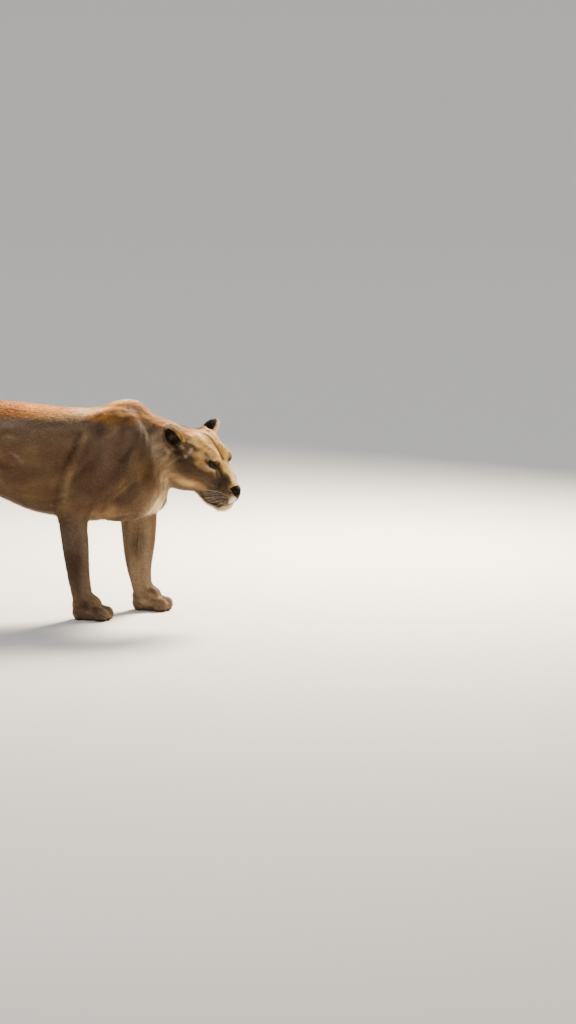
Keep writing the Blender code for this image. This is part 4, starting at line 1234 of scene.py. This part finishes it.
def noise(tree, place, scale, detail):
    return result(tree, "ShaderNodeTexNoise", {"Vector": place, "Scale": scale, "Detail": detail}, "Fac")


def maths(tree, kind, *values):
    return result(tree, "ShaderNodeMath", dict(enumerate(values)), operation=kind)


def mapped(tree, value, *limits):
    """A value put from one range into another; the limits are the ends of both."""
    names = ("From Min", "From Max", "To Min", "To Max")
    return result(tree, "ShaderNodeMapRange", {"Value": value, **dict(zip(names, limits, strict=True))})


def coat_look():
    tree = bpy.data.node_groups.new("coat_look", "ShaderNodeTree")
    tree.interface.new_socket("Shade", in_out="INPUT", socket_type="NodeSocketFloat")
    tree.interface.new_socket("Colour", in_out="OUTPUT", socket_type="NodeSocketColor")
    shade = tree.nodes.new("NodeGroupInput").outputs["Shade"]
    place = result(tree, "ShaderNodeTexCoord", (), "Object")
    mottle = noise(tree, place, 14.0, 3.0)
    both = maths(tree, "ADD", mottle, noise(tree, place, 160.0, 2.0))
    value = maths(tree, "MULTIPLY", mapped(tree, both, 0.6, 1.4, 0.72, 1.28), shade)
    hue = mapped(tree, mottle, 0.35, 0.65, 0.493, 0.507)
    base = attribute(tree, "coat_colour", "Color")
    final = {"Hue": hue, "Saturation": 1.0, "Value": value, "Color": base}
    out = tree.nodes.new("NodeGroupOutput")
    tree.links.new(result(tree, "ShaderNodeHueSaturation", final), out.inputs["Colour"])
    return tree


TONE, ROOT_TO_TIP = 0.17, (0.72, 1.16)  # how much lighter or darker a tuft is by chance, and along itself


def coat_material(name, roughness, tufts):
    """The coat's material; tufts have a tone of their own and a dark root, and the skin has a bump."""
    made, tree, shader = new_material(name)
    look = add_node(tree, "ShaderNodeGroup", node_tree=look_tree)
    if tufts:
        along = result(tree, "ShaderNodeSeparateXYZ", {0: attribute(tree, "blade", "Vector")}, "Y")
        shade = maths(tree, "MULTIPLY_ADD", attribute(tree, "tone", "Fac"), TONE, 1.0)
        shade = maths(tree, "MULTIPLY", shade, mapped(tree, along, 0.0, 1.0, *ROOT_TO_TIP))
    else:
        shade = 0.85
        fine = noise(tree, result(tree, "ShaderNodeTexCoord", (), "Object"), 420.0, 2.0)
        bump = result(tree, "ShaderNodeBump", {"Strength": 0.35, "Distance": 0.0015, "Height": fine})
        set_inputs(tree, shader, {"Normal": bump})
    set_inputs(tree, look, {"Shade": shade})
    set_inputs(tree, shader, {
        "Base Color": look.outputs["Colour"], "Roughness": roughness, "Specular IOR Level": 0.08,
        "Sheen Weight": 0.02, "Sheen Roughness": 0.4,
    })  # fmt: skip
    return made


look_tree = coat_look()
skin_material = coat_material("coat_skin", 0.8, False)
tuft_material = coat_material("coat_tufts", 0.62, True)
skin.data.materials.clear()
skin.data.materials.append(skin_material)


def keep_values(mesh, name, kind, values):
    """Stores values on the vertices under a name."""
    key = {"FLOAT": "value", "FLOAT_VECTOR": "vector", "FLOAT_COLOR": "color"}[kind]
    mesh.attributes.new(name, kind, "POINT").data.foreach_set(key, values.ravel())


colour_alpha = np.concatenate((colour, np.ones((len(points), 1))), axis=1)
keep_values(skin.data, "coat_colour", "FLOAT_COLOR", colour_alpha)
print("materials made")

# %% [markdown]
# A tuft is one thin blade: wide at the root, narrow at the tip, and bowed so that it leaves the skin and
# comes back towards it. Geometry Nodes sets hundreds of thousands of them on the skin, each turned to the
# lie of the coat and lifted by its angle. Particle hair would do it too, but it isn't a mesh. Each piece of
# coat grows on a copy of its own part of the skin, which is unwrapped, and each tuft keeps its root's place
# on that unwrap as its UV patch.

# %% The blade and the nodes that lay the coat
UV_PATCH = 0.003


def blade_mesh(name, steps, bow):
    """A blade 1 long towards +Y and 1 wide at its root, that lies in the XY plane and bows up to +Z."""
    places = []
    for i in range(steps):
        wide, z = 1 - 0.55 * (i / steps) ** 2, bow * math.sin(math.pi * 0.8 * i / steps)
        places += [(side * wide / 2, i / steps, z) for side in (-1, 1)]
    places.append((0, 1, bow * math.sin(0.8 * math.pi)))
    faces = [(2 * i, 2 * i + 1, 2 * i + 3, 2 * i + 2) for i in range(steps - 1)]
    mesh = mesh_of(name, places, [*faces, (2 * steps - 2, 2 * steps - 1, 2 * steps)])
    keep_values(mesh, "blade", "FLOAT_VECTOR", np.array([(x, y, 0) for x, y, _ in places], float))
    return object_of(name, mesh)


def coat_nodes():
    tree = bpy.data.node_groups.new("lay_the_coat", "GeometryNodeTree")
    for name, kind in (
        ("Surface", "Geometry"), ("Tuft", "Object"), ("Tufts per square metre", "Float"), ("Seed", "Int"),
        ("Spread of the lie", "Float"), ("Material", "Material"),
    ):  # fmt: skip
        tree.interface.new_socket(name, in_out="INPUT", socket_type=f"NodeSocket{kind}")
    tree.interface.new_socket("Coat", in_out="OUTPUT", socket_type="NodeSocketGeometry")
    given = tree.nodes.new("NodeGroupInput").outputs

    def named(name, kind="FLOAT"):
        return result(tree, "GeometryNodeInputNamedAttribute", {"Name": name}, "Attribute", data_type=kind)

    def chance(low, high, seed):
        return result(tree, "FunctionNodeRandomValue", {2: low, 3: high, "Seed": seed}, 1)

    def times(a, b):
        return maths(tree, "MULTIPLY", a, b)

    def vector(kind, a, **inputs):
        return result(tree, "ShaderNodeVectorMath", {0: a, **inputs}, operation=kind)

    def added(a, b):
        return result(tree, "ShaderNodeVectorMath", {0: a, 1: b}, operation="ADD")

    def stored(geometry, name, value, kind, domain):
        inputs = {"Geometry": geometry, "Name": name, "Value": value}
        return result(tree, "GeometryNodeStoreNamedAttribute", inputs, data_type=kind, domain=domain)

    density = times(named("per_area"), given["Tufts per square metre"])
    roots = {"Mesh": given["Surface"], "Density": density, "Seed": given["Seed"]}
    roots = add_node(tree, "GeometryNodeDistributePointsOnFaces", roots).outputs
    spread, out = given["Spread of the lie"], roots["Normal"]
    less = times(spread, -1.0)
    wander = result(tree, "ShaderNodeCombineXYZ", {i: chance(less, spread, i + 1) for i in range(3)})
    lie_way = vector("NORMALIZE", added(named("lie", "FLOAT_VECTOR"), wander))
    angle = times(named("lift"), chance(0.4, 1.6, 4))
    along = vector("SCALE", lie_way, Scale=maths(tree, "COSINE", angle))
    forward = added(along, vector("SCALE", out, Scale=maths(tree, "SINE", angle)))
    axes = {"Primary Axis": forward, "Secondary Axis": out}
    turned = result(tree, "FunctionNodeAxesToRotation", axes, primary_axis="Y", secondary_axis="Z")
    long = times(named("coat_length"), chance(0.7, 1.25, 5))
    wide = times(named("coat_width"), chance(0.7, 1.3, 6))
    toned = stored(roots["Points"], "tone", chance(-1.0, 1.0, 7), "FLOAT", "POINT")
    laid = result(tree, "GeometryNodeInstanceOnPoints", {
        "Points": toned, "Rotation": turned,
        "Instance": result(tree, "GeometryNodeObjectInfo", {"Object": given["Tuft"]}, "Geometry"),
        "Scale": result(tree, "ShaderNodeCombineXYZ", {0: wide, 1: long, 2: long}),
    })  # fmt: skip
    real = result(tree, "GeometryNodeRealizeInstances", {"Geometry": laid})
    patch = vector("SCALE", named("blade", "FLOAT_VECTOR"), Scale=UV_PATCH)
    place = added(named("root_place", "FLOAT_VECTOR"), patch)
    unwrapped = stored(real, "OFBake", place, "FLOAT2", "CORNER")
    final = {"Geometry": unwrapped, "Material": given["Material"]}
    final = result(tree, "GeometryNodeSetMaterial", final)
    tree.links.new(final, tree.nodes.new("NodeGroupOutput").inputs[0])
    return tree


short_tuft, long_tuft = blade_mesh("short_tuft", 2, 0.1), blade_mesh("long_tuft", 4, 0.14)
tree = coat_nodes()
print("coat nodes:", len(tree.nodes.keys()))

# %% [markdown]
# The coat is laid in pieces, so that none of them is too heavy. `lay_coat` takes a share of the skin,
# copies its faces, unwraps the copy and grows the tufts on it. The number of tufts is given, and the
# density follows from it.

# %% Lay a piece of coat
corners = points[triangles]
spans = np.cross(corners[:, 1] - corners[:, 0], corners[:, 2] - corners[:, 0])
face_area = np.linalg.norm(spans, axis=1) / 2


def cut_out(name, wanted, places):
    """The wanted faces of the skin as a mesh of their own, and which vertices it uses."""
    used, index = np.unique(triangles[wanted], return_inverse=True)
    return mesh_of(name, places[used], index.reshape(-1, 3)), used


def surface_part(name, wanted, values):
    """A copy of the wanted faces, with values on their vertices, unwrapped by itself."""
    mesh, used = cut_out(name, wanted, points)
    for key, (kind, data) in values.items():
        keep_values(mesh, key, kind, data[used])
    part = object_of(name, mesh)
    bpy.context.view_layer.objects.active = part
    part.select_set(True)
    bpy.ops.object.mode_set(mode="EDIT")
    bpy.ops.mesh.select_all(action="SELECT")
    bpy.ops.uv.smart_project(angle_limit=math.radians(66), island_margin=0.004)
    bpy.ops.object.mode_set(mode="OBJECT")
    part.select_set(False)
    mesh.uv_layers[0].name = "root_place"
    return part


def lay_coat(name, share, tufts, width, seed, blade=short_tuft, spread=0.22, longer=1.0, slot="coat"):
    """Lays about the given number of tufts on the skin's faces where share is over 0, as one piece."""
    thick = (share * covered)[triangles].mean(axis=1)
    wanted = thick > 0.02
    values = {
        "coat_colour": ("FLOAT_COLOR", colour_alpha),
        "lie": ("FLOAT_VECTOR", lie),
        "lift": ("FLOAT", lift),
        "coat_length": ("FLOAT", coat_length * longer),
        "coat_width": ("FLOAT", np.broadcast_to(width, (len(points),)).astype(float)),
        "per_area": ("FLOAT", share * covered),
    }
    part = surface_part(name + "_surface", wanted, values)
    modifier = part.modifiers.new("coat", "NODES")
    modifier.node_group = tree
    settings = {
        "Tuft": blade, "Seed": seed, "Spread of the lie": spread, "Material": tuft_material,
        "Tufts per square metre": float(tufts / (thick * face_area)[wanted].sum()),
    }  # fmt: skip
    for item in tree.interface.items_tree:
        if item.in_out == "INPUT" and item.name in settings:
            modifier[item.identifier] = settings[item.name]
    part.update_tag()
    bpy.context.view_layer.update()
    mesh = bpy.data.meshes.new_from_object(part.evaluated_get(bpy.context.evaluated_depsgraph_get()))
    bpy.data.objects.remove(part)
    for extra in ("lie", "lift", "coat_length", "coat_width", "per_area", "root_place"):
        if extra in mesh.attributes:
            mesh.attributes.remove(mesh.attributes[extra])
    at = points_of(mesh)
    at[:, 2] = np.maximum(at[:, 2], 0.0006)
    set_points(mesh, at)
    piece = object_of(name, mesh)
    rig.ride(piece, "root")
    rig.slot(piece, slot)
    print(name, len(mesh.polygons), "faces")

# %% [markdown]
# The body's coat is eight pieces. The face has the smallest tufts and the most of them to the square
# centimetre.

# %% The short coat
front_head = step(0.08, 0.09, local[:, 0]) * step(-0.3, -0.22, local[:, 2]) * step(0.5, 0.56, points[:, 0])
ears_too = np.maximum(ear_cup, np.maximum(ear_rim, ear_back))
neck_part = step(0.01, 0.012, body[:, 0]) * (height > 0.42)
leg_part = (height < 0.44).astype(float) * (1 - on_tail)
rest = (1 - front_head) * (1 - neck_part) * (1 - leg_part) * (1 - on_tail)
right = (points[:, 1] < 0).astype(float)
rear = (body[:, 0] < -0.42).astype(float)
fore_leg = (body[:, 0] > -0.35).astype(float)
leg_width = 0.0019 - 0.0007 * on_paws
lay_coat("coat_face", front_head, 62000, 0.0009 + 0.0004 * (coat_length > 0.008), 1)
neck_share = (1 - front_head) * neck_part * (1 + 0.8 * on_head + 0.8 * ears_too)
lay_coat("coat_neck", neck_share, 64000, 0.002 - 0.0007 * on_head, 2)
for side_name, side_share in (("right", right), ("left", 1 - right)):
    lay_coat(f"coat_fore_{side_name}", rest * side_share * (1 - rear), 50000, 0.0023, 3)
    lay_coat(f"coat_rear_{side_name}", rest * side_share * rear, 46000, 0.0023, 4)
lay_coat("coat_forelegs", leg_part * fore_leg * (1 + 0.8 * on_paws), 52000, leg_width, 5)
hind_share = np.maximum(leg_part * (1 - fore_leg) * (1 + 0.8 * on_paws), on_tail)
lay_coat("coat_hindlegs", hind_share, 52000, leg_width, 6)

# %% [markdown]
# Longer hair is laid over it, in tufts of four steps: on the breast and throat, the belly, the crest of the
# neck, the chin, the rims and cups of the ears, and the tip of the tail.

# %% The long hair
breast = np.maximum(on_chest, 0.6 * on_throat) * (1 - leg_part)
lay_coat("locks_breast", breast, 6500, 0.0028, 7, long_tuft, 0.14, 1.15, "pale_coat")
lay_coat("locks_belly", on_belly, 3500, 0.0028, 8, long_tuft, 0.18, 1.2, "pale_coat")
lay_coat("locks_crest", on_crest, 3500, 0.0024, 9, long_tuft, 0.18, 1.2)
chin = np.maximum(on_chin, 0.5 * on_jaw)
lay_coat("locks_chin", chin, 4500, 0.001, 10, long_tuft, 0.25, 1.7, "pale_coat")
ear_hair = np.maximum(ear_rim * (0.3 + 0.7 * rim_front), 0.2 * ear_cup)
ear_hair = np.maximum(ear_hair, face_line(BEFORE_EAR, 0.005))
lay_coat("locks_ears", ear_hair, 3200, 0.0012, 11, long_tuft, 0.3, 1.5)
lay_coat("locks_tail", tail_tuft, 2600, 0.0026, 12, long_tuft, 0.22, 1.3, "dark_coat")

# %% [markdown]
# The eyes are balls with a cornea that stands out a little. The iris is amber with darker rays, painted
# very dark as shade under the brow, the pupil round and small, as in daylight, and the edge of the iris is
# dark. The angle from the gaze is kept on each vertex, and the material colours by it.

# %% Eyes
RINGS, SPOKES = 40, 48
IRIS, PUPIL, CORNEA = 0.68, 0.24, 0.75  # their edges, in radians from the gaze
BULGE = 0.0011


def eye_piece(name, side, node):
    fold = np.array((1, side, 1))
    centre = from_head((EYE * fold)[None])[0]
    gaze = turn @ (GAZE * fold)
    across = unit(np.cross(gaze, turn @ (0, 0, 1)))
    upward = np.cross(across, gaze)
    places, angles, rays, faces = [], [], [], []
    for ring in range(RINGS + 1):
        angle = math.pi * ring / RINGS
        cornea = BULGE * max(0, math.cos(min(angle / CORNEA, 1) * math.pi / 2))
        for spoke in range(SPOKES):
            spin = 2 * math.pi * spoke / SPOKES
            way = (
                math.cos(angle) * gaze + math.sin(angle) * (math.cos(spin) * across + math.sin(spin) * upward)
            )
            places.append(centre + way * (EYE_RADIUS + cornea))
            angles.append(angle)
            rays.append((math.cos(spin) * 3, math.sin(spin) * 3, angle))
            if ring < RINGS:
                a, b = ring * SPOKES + spoke, ring * SPOKES + (spoke + 1) % SPOKES
                faces.append((a, a + SPOKES, b + SPOKES, b))
    mesh = mesh_of(name, places, faces)
    keep_values(mesh, "from_gaze", "FLOAT", np.array(angles))
    keep_values(mesh, "rays", "FLOAT_VECTOR", np.array(rays, float))
    shape = bmesh.new()
    shape.from_mesh(mesh)
    bmesh.ops.remove_doubles(shape, verts=shape.verts[:], dist=1e-6)
    bmesh.ops.recalc_face_normals(shape, faces=shape.faces[:])
    shape.to_mesh(mesh)
    shape.free()
    mesh.shade_smooth()
    mesh.materials.append(eye_material)
    piece = object_of(name, mesh)
    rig.ride(piece, "root")
    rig.replaces(piece, node)
    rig.slot(piece, "eye")


# The iris colours are darkened as painted shade of the brow.
IRIS_SHADES = (  # radians from the gaze, colour
    (PUPIL - 0.02, (0.002, 0.002, 0.002)), (PUPIL + 0.02, (0.04, 0.018, 0.004)),
    (IRIS - 0.14, (0.058, 0.028, 0.006)), (IRIS - 0.02, (0.04, 0.02, 0.006)),
    (IRIS + 0.04, (0.02, 0.012, 0.008)), (0.95, (0.1, 0.06, 0.04)),
)  # fmt: skip
eye_material, tree_of_eye, eye_shader = new_material("eye")
ray_noise = noise(tree_of_eye, attribute(tree_of_eye, "rays", "Vector"), 3.0, 4.0)
ramp = add_node(tree_of_eye, "ShaderNodeValToRGB", {"Fac": attribute(tree_of_eye, "from_gaze", "Fac")})
stops = ramp.color_ramp.elements
for number, (position, shade) in enumerate(IRIS_SHADES):
    stop = stops[number] if number < len(stops) else stops.new(position)
    stop.position, stop.color = position, (*shade, 1)
rayed = {"Value": mapped(tree_of_eye, ray_noise, 0.3, 0.7, 0.6, 1.3), "Color": ramp.outputs[0]}
iris = result(tree_of_eye, "ShaderNodeHueSaturation", rayed)
set_inputs(tree_of_eye, eye_shader, {"Base Color": iris, "Roughness": 0.04, "Specular IOR Level": 0.05})
eye_piece("left_eye", 1, "eye_left")
eye_piece("right_eye", -1, "eye_right")
print("two eyes, radius", round(EYE_RADIUS, 4))

# %% [markdown]
# The bare leather of the nose is a thin shell over the skin's nose pad. It's black-brown, moist and finely
# cobbled.

# %% Nose leather
LEATHER = 0.0007
leather, tree_of_leather, leather_shader = new_material("nose_leather")
place = result(tree_of_leather, "ShaderNodeTexCoord", (), "Object")
cobbles = result(tree_of_leather, "ShaderNodeTexVoronoi", {"Vector": place, "Scale": 900.0}, "Distance")
bump = {"Strength": 0.5, "Distance": 0.0006, "Height": cobbles}
bump = result(tree_of_leather, "ShaderNodeBump", bump, invert=True)
shades = {6: (0.006, 0.004, 0.003, 1), 7: (0.018, 0.011, 0.008, 1)}
shades["Factor"] = noise(tree_of_leather, place, 90.0, 3.0)
mixed = result(tree_of_leather, "ShaderNodeMix", shades, 2, data_type="RGBA")
looks = {"Base Color": mixed, "Normal": bump, "Roughness": 0.55, "Specular IOR Level": 0.04}
set_inputs(tree_of_leather, leather_shader, looks)
on_pad = bare[triangles].min(axis=1) > 0.45
leather_mesh, _ = cut_out("nose_leather", on_pad, points + normals * LEATHER)
leather_mesh.shade_smooth()
leather_mesh.materials.append(leather)
nose_leather = object_of("nose_leather", leather_mesh)
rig.ride(nose_leather, "root")
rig.replaces(nose_leather, "nose")
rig.slot(nose_leather, "nose_leather")
print("nose leather", len(nose_leather.data.polygons), "faces")

# %% [markdown]
# Whiskers are thin pale hairs. They stand in four rows on each side of the upper lip, and sweep out, back
# and down. Three more grow over each eye. Each is a three-sided tapering tube.

# %% Whiskers
WHISKER_RADIUS = 0.00026
OVER_EYE = ((0.16, 0.06, 0.046), (0.152, 0.066, 0.048), (0.146, 0.06, 0.052))
TIP = 0.15  # how wide a tube ends, as a share of its root


def tapered_tube(shape, root, way, length, bend, radius, corners=3, steps=9):
    """Adds one tube, from its root, that starts along the way and bends by the given vector."""
    way = unit(way)
    rings = []
    for i in range(steps + 1):
        t = i / steps
        place = root + way * length * t + bend * length * t * t
        tangent = unit(way + 2 * bend * t)
        side = unit(np.cross(tangent, (0.3, 0.2, 0.9)))
        other = np.cross(tangent, side)
        here = radius * (1 - (1 - TIP) * t)
        spins = [2 * math.pi * k / corners for k in range(corners)]
        rings.append(
            [shape.verts.new(place + here * (math.cos(s) * side + math.sin(s) * other)) for s in spins]
        )
    for low, high in zip(rings, rings[1:], strict=False):
        for k in range(corners):
            shape.faces.new((low[k], low[(k + 1) % corners], high[(k + 1) % corners], high[k]))
    shape.faces.new(rings[0][::-1])
    shape.faces.new(rings[-1])


def nearest_skin(place):
    """The skin's nearest vertex and its normal."""
    at = np.argmin(((points - place) ** 2).sum(axis=1))
    return points[at], normals[at]


def nearest_on_head(place, fold):
    return nearest_skin(from_head((np.array(place) * fold)[None])[0])


chances = np.random.default_rng(5)
shape = bmesh.new()
for side in (1, -1):
    fold = np.array((1, side, 1))
    for row, spot, place in whisker_places():
        root, out = nearest_on_head(place, fold)
        back = turn @ (np.array((-0.75, 0.42, -0.28 - 0.1 * row)) * fold)
        way = 0.55 * out + back + chances.normal(size=3) * 0.07
        length = (0.05 + 0.011 * spot) * chances.uniform(0.8, 1.15)
        bend = turn @ (np.array((-0.3, -0.22, -0.1)) * fold) + np.array((0, 0, -0.1))
        tapered_tube(shape, root - out * 0.001, way, length, bend, WHISKER_RADIUS)
    for place in OVER_EYE:
        root, out = nearest_on_head(place, fold)
        way = 0.6 * out + turn @ (np.array((-0.7, 0.3, 0.4)) * fold)
        bend = turn @ (np.array((-0.4, 0, -0.1)) * fold)
        length = 0.04 * chances.uniform(0.8, 1.1)
        tapered_tube(shape, root - out * 0.001, way, length, bend, WHISKER_RADIUS)


def tube_piece(name, shape, material, slot):
    """The tubes as a piece of their own."""
    bmesh.ops.recalc_face_normals(shape, faces=shape.faces[:])
    mesh = bpy.data.meshes.new(name)
    shape.to_mesh(mesh)
    shape.free()
    mesh.shade_smooth()
    mesh.materials.append(material)
    piece = object_of(name, mesh)
    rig.ride(piece, "root")
    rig.slot(piece, slot)


tube_piece("whiskers", shape, plain_material("whisker", (0.74, 0.68, 0.58), 0.4), "pale_coat")
print(2 * (WHISKER_ROWS * WHISKERS_IN_ROW + len(OVER_EYE)), "whiskers")

# %% [markdown]
# A lion walks with its claws drawn in, so only a dark point of horn shows between the fur at the end of
# each toe. There are four toes to a paw, spread over its width, and the middle two reach further.

# %% Claws
TOES = ((-1, 0.02), (-0.34, 0), (0.34, 0), (1, 0.02))  # place across the paw, how far behind the first toe
CLAW_LENGTH, CLAW_RADIUS, CLAW_HEIGHT = 0.0135, 0.0028, 0.024
shape = bmesh.new()
for paw, half_width in (("forepaw", 0.047), ("hindpaw", 0.041)):
    for side_name in ("left", "right"):
        low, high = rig.box(f"{paw}_{side_name}")
        for across_paw, behind in TOES:
            spin = math.radians(9 * across_paw)
            toe = (
                high.x - 0.003 - behind, (low.y + high.y) / 2 + across_paw * half_width * 1.08, CLAW_HEIGHT
            )
            root, out = nearest_skin(np.array(toe))
            way = np.array((math.cos(spin), math.sin(spin), -0.45))
            tapered_tube(
                shape, root - way * 0.005, way, CLAW_LENGTH, np.array((-0.15, 0, -0.3)), CLAW_RADIUS, 8, 6
            )
tube_piece("claws", shape, plain_material("horn", (0.02, 0.014, 0.01), 0.35), "dark_coat")
print("claws:", 4 * len(TOES))

# %% [markdown] The skin stands for all of the flesh.

# %% Finish
for helper in (short_tuft, long_tuft):
    bpy.data.objects.remove(helper)
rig.ride(skin, "root")
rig.replaces(skin, *[name for name in flesh if name != "nose"])
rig.slot(skin, "coat")
pieces = [
    piece for piece in bpy.data.objects
    if piece.type == "MESH" and "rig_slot" in piece and piece.name not in nodes
]
every = np.concatenate([points_of(piece.data) for piece in pieces])
sizes = {
    "cad": [list(cad_low), list(cad_high)],
    "visual": [every.min(axis=0).tolist(), every.max(axis=0).tolist()],
}
with open("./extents.json", "w") as file:
    json.dump(sizes, file)
faces = sum(len(piece.data.loop_triangles) or len(piece.data.polygons) for piece in pieces)
print(len(pieces), "pieces,", faces, "faces")
